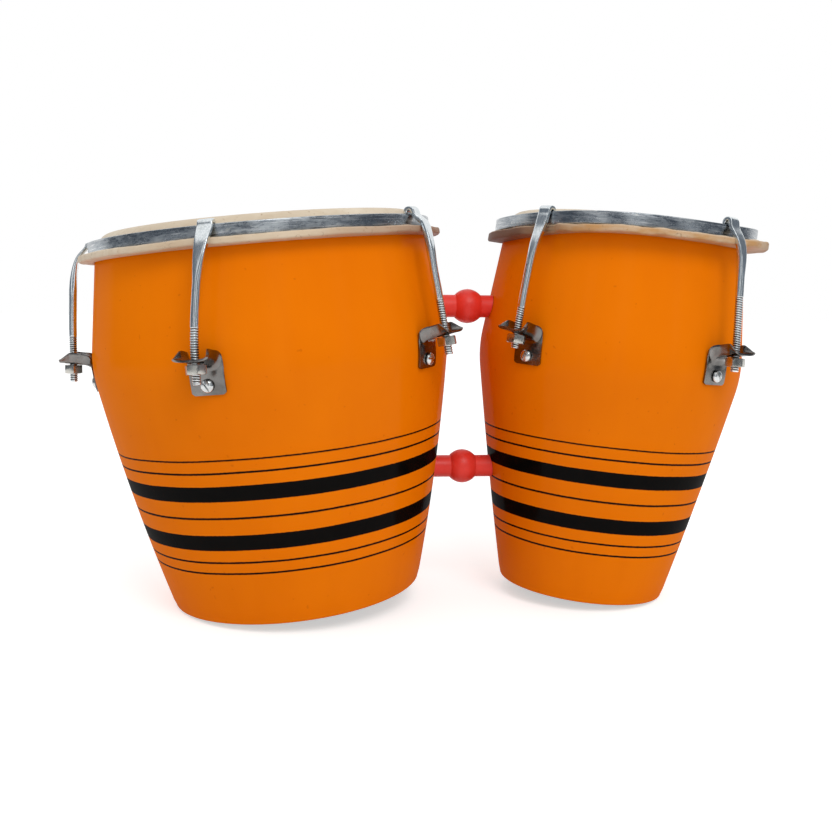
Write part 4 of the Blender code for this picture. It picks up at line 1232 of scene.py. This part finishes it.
def make_screw():
    """A round-head slotted screw, its head's underside at height 0."""
    head = SCREW_HEAD_DIAMETER / 2
    shank = SCREW_SHANK_DIAMETER / 2
    pointed = SCREW_POINT_LENGTH - SCREW_LENGTH
    outline = [(0, -SCREW_LENGTH), (shank * 0.5, 0.0012 - SCREW_LENGTH), (shank * 0.92, pointed)]
    for i in range(7):
        start = pointed + i * 0.0005
        outline += [(shank, start + 0.00018), (shank * 0.84, start + 0.00038)]
    brim = 0.00055
    outline += [(shank * 0.9, -0.0006), (shank * 0.9, 0), (head - 0.00025, 0), (head, 0.0002), (head, brim)]
    for i in range(1, 9):
        turn = math.pi / 2 * i / 8
        radius = head * math.cos(turn) ** 0.85 if i < 8 else 0
        outline.append((radius, brim + (SCREW_HEAD_HEIGHT - brim) * math.sin(turn)))
    screw = turn_on_lathe("slotted_screw", outline, steps=40)
    slot = new_shape("slot", bpy.ops.mesh.primitive_cube_add, size=1)
    slot_size = Matrix.Diagonal((0.00095, 0.009, 0.0023, 1))
    slot.data.transform(Matrix.Translation((0, 0, SCREW_HEAD_HEIGHT)) @ slot_size)
    cut_away(screw, slot)
    soften_edges(screw, 0.0001, 45)
    return screw


def fit_lugs(drum, tension, finishes, nut, screw):
    """Hooks, nuts, brackets and screws, all round one drum."""
    bracket = make_bracket(drum)
    hook_finish = hook_steel_finish(drum)
    nut_frame = rod_frame(drum, nut_middle(drum))
    screw_frame = screw_place(drum, SEAT_GAP + BRACKET_THICKNESS + SEAT_GAP)
    for number, degrees in enumerate(drum.lug_degrees, 1):
        place = lug_place(drum, degrees)
        make_hook(drum, number, degrees, tension, hook_finish)

        node = f"{drum.name}_tuning_nut_{number}"
        piece = another(nut, node.replace("tuning_nut", "hex_nut"))
        own_place = place @ nut_frame @ lug_turn(drum.nut_turns[number - 1])
        hand_over(piece, node, node, [finishes["nut"]], own_place, 30)

        node = f"{drum.name}_bracket_{number}"
        piece = another(bracket, node.replace("bracket", "pressed_bracket"))
        hand_over(piece, node, "shells", [finishes["bracket"]], place, 42)

        node = f"{drum.name}_bracket_screw_{number}"
        piece = another(screw, node.replace("bracket_screw", "slotted_screw"))
        own_place = place @ screw_frame @ lug_turn(25 + 47 * number)
        hand_over(piece, node, "shells", [finishes["screw"]], own_place, 35)
    bpy.data.objects.remove(bracket, do_unlink=True)


# Spacers and tie bolts


def shell_envelope(drum):
    """The drum's outside plus a seat gap, as a solid that trims what seats on it."""
    line = [(drum.base_radius - BASE_ROUNDING, 0)]
    line += [(flank_radius(drum, drum.height * i / 60), drum.height * i / 60) for i in range(1, 60)]
    line = offset_line(line, -SEAT_GAP)
    solid = turn_on_lathe("envelope", [(0, line[0][1])] + line + [(0, line[-1][1])])
    set_down(solid, drum_place(drum))
    return solid


def make_spacer(name, level, shift, finish):
    """A ball between two collars, moulded in two halves, bored through and fitted to both walls."""
    left = facing_wall(LARGE, level)
    right = facing_wall(SMALL, level)
    length = right - left + COLLAR_DIAMETER + 2 * abs(shift)
    ball = BALL_DIAMETER / 2
    collar = COLLAR_DIAMETER / 2
    bore = TIE_DIAMETER / 2 + HOLE_ROOM
    neck = 0.0007
    start = math.asin((collar + neck) / ball)
    side = [(bore, -length / 2), (collar, -length / 2), (collar, -ball * math.cos(start) - neck * 1.6)]
    side.append((collar + neck * 0.25, -ball * math.cos(start) - neck * 0.55))
    outline = side[:]
    steps = 36
    for i in range(steps + 1):
        turn = start + (math.pi - 2 * start) * i / steps
        seam = 0.00009 if i == steps // 2 else 0
        outline.append(((ball + seam) * math.sin(turn), -ball * math.cos(turn)))
    outline += [(radius, -height) for radius, height in side[::-1]]
    spacer = turn_on_lathe(name + "_ball_spacer", outline, closed=True, steps=96)
    set_down(spacer, level_place((left + right) / 2 + shift, level))
    for drum in (LARGE, SMALL):
        cut_away(spacer, shell_envelope(drum))
    hand_over(spacer, name + "_spacer", "shells", [finish])


def make_washer(name, x, level, finish):
    bore = TIE_DIAMETER / 2 + HOLE_ROOM
    outline = rounded_section(bore, WASHER_DIAMETER / 2, 0, WASHER_THICKNESS, 0.00018, 1)
    washer = turn_on_lathe(name.replace("tie_washer", "flat_washer"), outline, closed=True, steps=64)
    hand_over(washer, name, "shells", [finish], level_place(x, level), 30)


def make_tie_bolt(name, start, length, level, finish):
    """A hexagon-head bolt, its head's bearing face at the start and its threaded end at the other."""
    head = six_sided(name + "_hex_bolt", TIE_ACROSS_FLATS, TIE_HEAD_HEIGHT, 0)
    set_down(head, Matrix.Translation((0, 0, -TIE_HEAD_HEIGHT / 2)))
    radius, root = TIE_DIAMETER / 2, TIE_DIAMETER / 2 * 0.86
    pitch = 0.001
    thread_start = length - 20 * pitch
    outline = [(0, -0.001), (radius, -0.001), (radius, thread_start)]
    for i in range(19):
        height = thread_start + pitch * i
        outline += [(radius, height + pitch * 0.3), (root, height + pitch * 0.65)]
    outline += [(root, length - 0.0004), (radius * 0.78, length), (0, length)]
    shank = turn_on_lathe("shank", outline, steps=32)
    cut_away(head, shank, "UNION")
    hand_over(head, name + "_tie_bolt", "shells", [finish], level_place(start, level), 30)


def make_tie(name, level, shift, finishes):
    """One spacer, with the bolt, the nut and the two washers that hold it."""
    zinc = finishes["zinc"]
    make_spacer(name, level, shift, finishes["spacer"])
    left_seat = facing_wall(LARGE, level) - SPOT_FACE_WALL
    right_seat = facing_wall(SMALL, level) + SPOT_FACE_WALL
    stack = SEAT_GAP + WASHER_THICKNESS + SEAT_GAP
    length = right_seat - left_seat + 2 * stack + TIE_NUT_HEIGHT + TIE_END
    make_tie_bolt(name, left_seat - stack, length, level, zinc)
    make_washer(name + "_tie_washer_large", left_seat - SEAT_GAP - WASHER_THICKNESS, level, zinc)
    make_washer(name + "_tie_washer_small", right_seat + SEAT_GAP, level, zinc)
    nut = six_sided(name + "_tie_hex_nut", TIE_ACROSS_FLATS, TIE_NUT_HEIGHT, TIE_DIAMETER + 2 * HOLE_ROOM)
    place = level_place(right_seat + stack + TIE_NUT_HEIGHT / 2, level)
    hand_over(nut, name + "_tie_nut", "shells", [zinc], place, 30)


# Studio


def set_camera():
    """The photograph's own viewpoint, turned to the right, then down, then rolled."""
    yaw, pitch, roll = [math.radians(degrees) for degrees in CAMERA_TURNS]
    forward = Vector((math.sin(yaw) * math.cos(pitch), math.cos(yaw) * math.cos(pitch), -math.sin(pitch)))
    right = Vector((math.cos(yaw), -math.sin(yaw), 0))
    down = forward.cross(right)
    tilted_right = right * math.cos(roll) + down * math.sin(roll)
    tilted_down = down * math.cos(roll) - right * math.sin(roll)
    lens = bpy.data.cameras.new("camera")
    lens.lens = LENS_LENGTH
    lens.sensor_width = 36
    lens.clip_start = 0.01
    camera = bpy.data.objects.new("camera", lens)
    turn = Matrix((tilted_right, -tilted_down, -forward)).transposed().to_4x4()
    camera.matrix_world = Matrix.Translation(CAMERA_PLACE) @ turn
    bpy.context.scene.collection.objects.link(camera)
    bpy.context.scene.camera = camera


def seen_rays(tree):
    """1 for camera, glossy and transmission rays, 0 for the rays that light surfaces."""
    path = add_node(tree, "ShaderNodeLightPath")
    glossy = sum_up(tree, "MAXIMUM", path.outputs["Is Camera Ray"], path.outputs["Is Glossy Ray"])
    return sum_up(tree, "MAXIMUM", glossy, path.outputs["Is Transmission Ray"])


def set_world():
    world = bpy.data.worlds.new("studio_air")
    world.use_nodes = True
    tree = world.node_tree
    background = tree.nodes["Background"]
    background.inputs["Color"].default_value = (1, 1, 1, 1)
    strength = spread(tree, seen_rays(tree), 0, 1, 0.80, 1.0)
    tree.links.new(strength, background.inputs["Strength"])
    bpy.context.scene.world = world


def start_studio_finish(name):
    """An empty material with only its output."""
    material = bpy.data.materials.new(name)
    material.use_nodes = True
    tree = material.node_tree
    tree.nodes.remove(tree.nodes["Principled BSDF"])
    return material, tree, tree.nodes["Material Output"].inputs["Surface"]


def set_floor():
    floor = new_shape("studio_floor", bpy.ops.mesh.primitive_plane_add, size=16, location=(0, 0, -0.0002))
    material, tree, surface = start_studio_finish("white_sweep")
    paper = add_node(tree, "ShaderNodeBsdfDiffuse", {"Color": (0.78, 0.78, 0.78, 1)})
    strength = spread(tree, seen_rays(tree), 0, 1, 0.0, 0.52)
    glow = add_node(tree, "ShaderNodeEmission", {"Color": (1, 1, 1, 1), "Strength": strength})
    both = add_node(tree, "ShaderNodeAddShader", {0: paper.outputs[0], 1: glow.outputs[0]})
    tree.links.new(both.outputs[0], surface)
    floor.data.materials.append(material)


def set_card(name, start, end):
    """A standing card that only reflections see, so that metal has something to mirror."""
    card = new_shape(name, bpy.ops.mesh.primitive_plane_add, size=1)
    start, end = Vector((*start, 0)), Vector((*end, 0))
    along = end - start
    middle = (start + end) / 2 + Vector((0, 0, CARD_HEIGHT / 2))
    turn = Matrix.Rotation(math.atan2(along.y, along.x), 4, "Z") @ Matrix.Rotation(math.pi / 2, 4, "X")
    size = Matrix.Diagonal((along.length, CARD_HEIGHT, 1, 1))
    card.data.transform(Matrix.Translation(middle) @ turn @ size)
    material, tree, surface = start_studio_finish(name)
    glow = add_node(tree, "ShaderNodeEmission", {"Color": CARD_GREY, "Strength": 1.0})
    tree.links.new(glow.outputs[0], surface)
    card.data.materials.append(material)
    for rays in ("camera", "diffuse", "shadow", "transmission"):
        setattr(card, "visible_" + rays, False)


def set_lamp():
    """One soft lamp from the front, high up and a little to the right."""
    lamp = bpy.data.lights.new("key", "AREA")
    lamp.size = 0.9
    lamp.energy = 14
    lit = bpy.data.objects.new("key", lamp)
    place, target = Vector((0.35, -1.5, 1.55)), Vector((0.0, 0.0, 0.12))
    turn = (target - place).to_track_quat("-Z", "Y").to_matrix().to_4x4()
    lit.matrix_world = Matrix.Translation(place) @ turn
    bpy.context.scene.collection.objects.link(lit)


def set_studio():
    set_camera()
    set_world()
    set_floor()
    set_card("middle_left_card", (-0.12, -0.92), (-0.50, -0.90))
    set_card("outer_left_card", (-0.70, -0.89), (-1.3, -0.85))
    set_card("left_card", (-1.3, -0.85), (-1.4, 0.6))
    set_card("middle_right_card", (0.08, -0.92), (0.70, -0.90))
    set_card("outer_right_card", (0.90, -0.88), (1.3, -0.85))
    set_card("right_card", (1.3, -0.85), (1.4, 0.5))
    set_lamp()
    bpy.context.scene.view_settings.view_transform = "Standard"


# The pair

plating = {
    "nut": ("nut_plating", (0.36, 0.35, 0.31), (0.58, 0.57, 0.53), 0.22, (0.20, 0.16, 0.12)),
    "bracket": ("bracket_sheet", (0.12, 0.115, 0.11), (0.26, 0.25, 0.24), 0.2, (0.09, 0.07, 0.055)),
    "screw": ("screw_plating", (0.50, 0.52, 0.52), (0.74, 0.75, 0.74), 0.24, (0.28, 0.26, 0.22)),
    "zinc": ("zinc_plating", (0.50, 0.50, 0.47), (0.68, 0.68, 0.65), 0.36, (0.36, 0.35, 0.32)),
}
finishes = {use: plated_finish(*values) for use, values in plating.items()}
finishes["spacer"] = red_finish()
tuning_nut = six_sided("nut_pattern", NUT_ACROSS_FLATS, NUT_HEIGHT, NUT_BORE)
slotted_screw = make_screw()
for drum in (LARGE, SMALL):
    tension = drum.name + "_tension"
    band = galvanised_finish(drum)
    make_shell(drum)
    make_skin(drum)
    make_flesh_hoop(drum, tension, band)
    make_rim_hoop(drum, tension, band)
    fit_lugs(drum, tension, finishes, tuning_nut, slotted_screw)
make_tie("upper", UPPER_TIE_HEIGHT, UPPER_BALL_SHIFT, finishes)
make_tie("lower", LOWER_TIE_HEIGHT, 0, finishes)
bpy.data.objects.remove(tuning_nut, do_unlink=True)
bpy.data.objects.remove(slotted_screw, do_unlink=True)
set_studio()
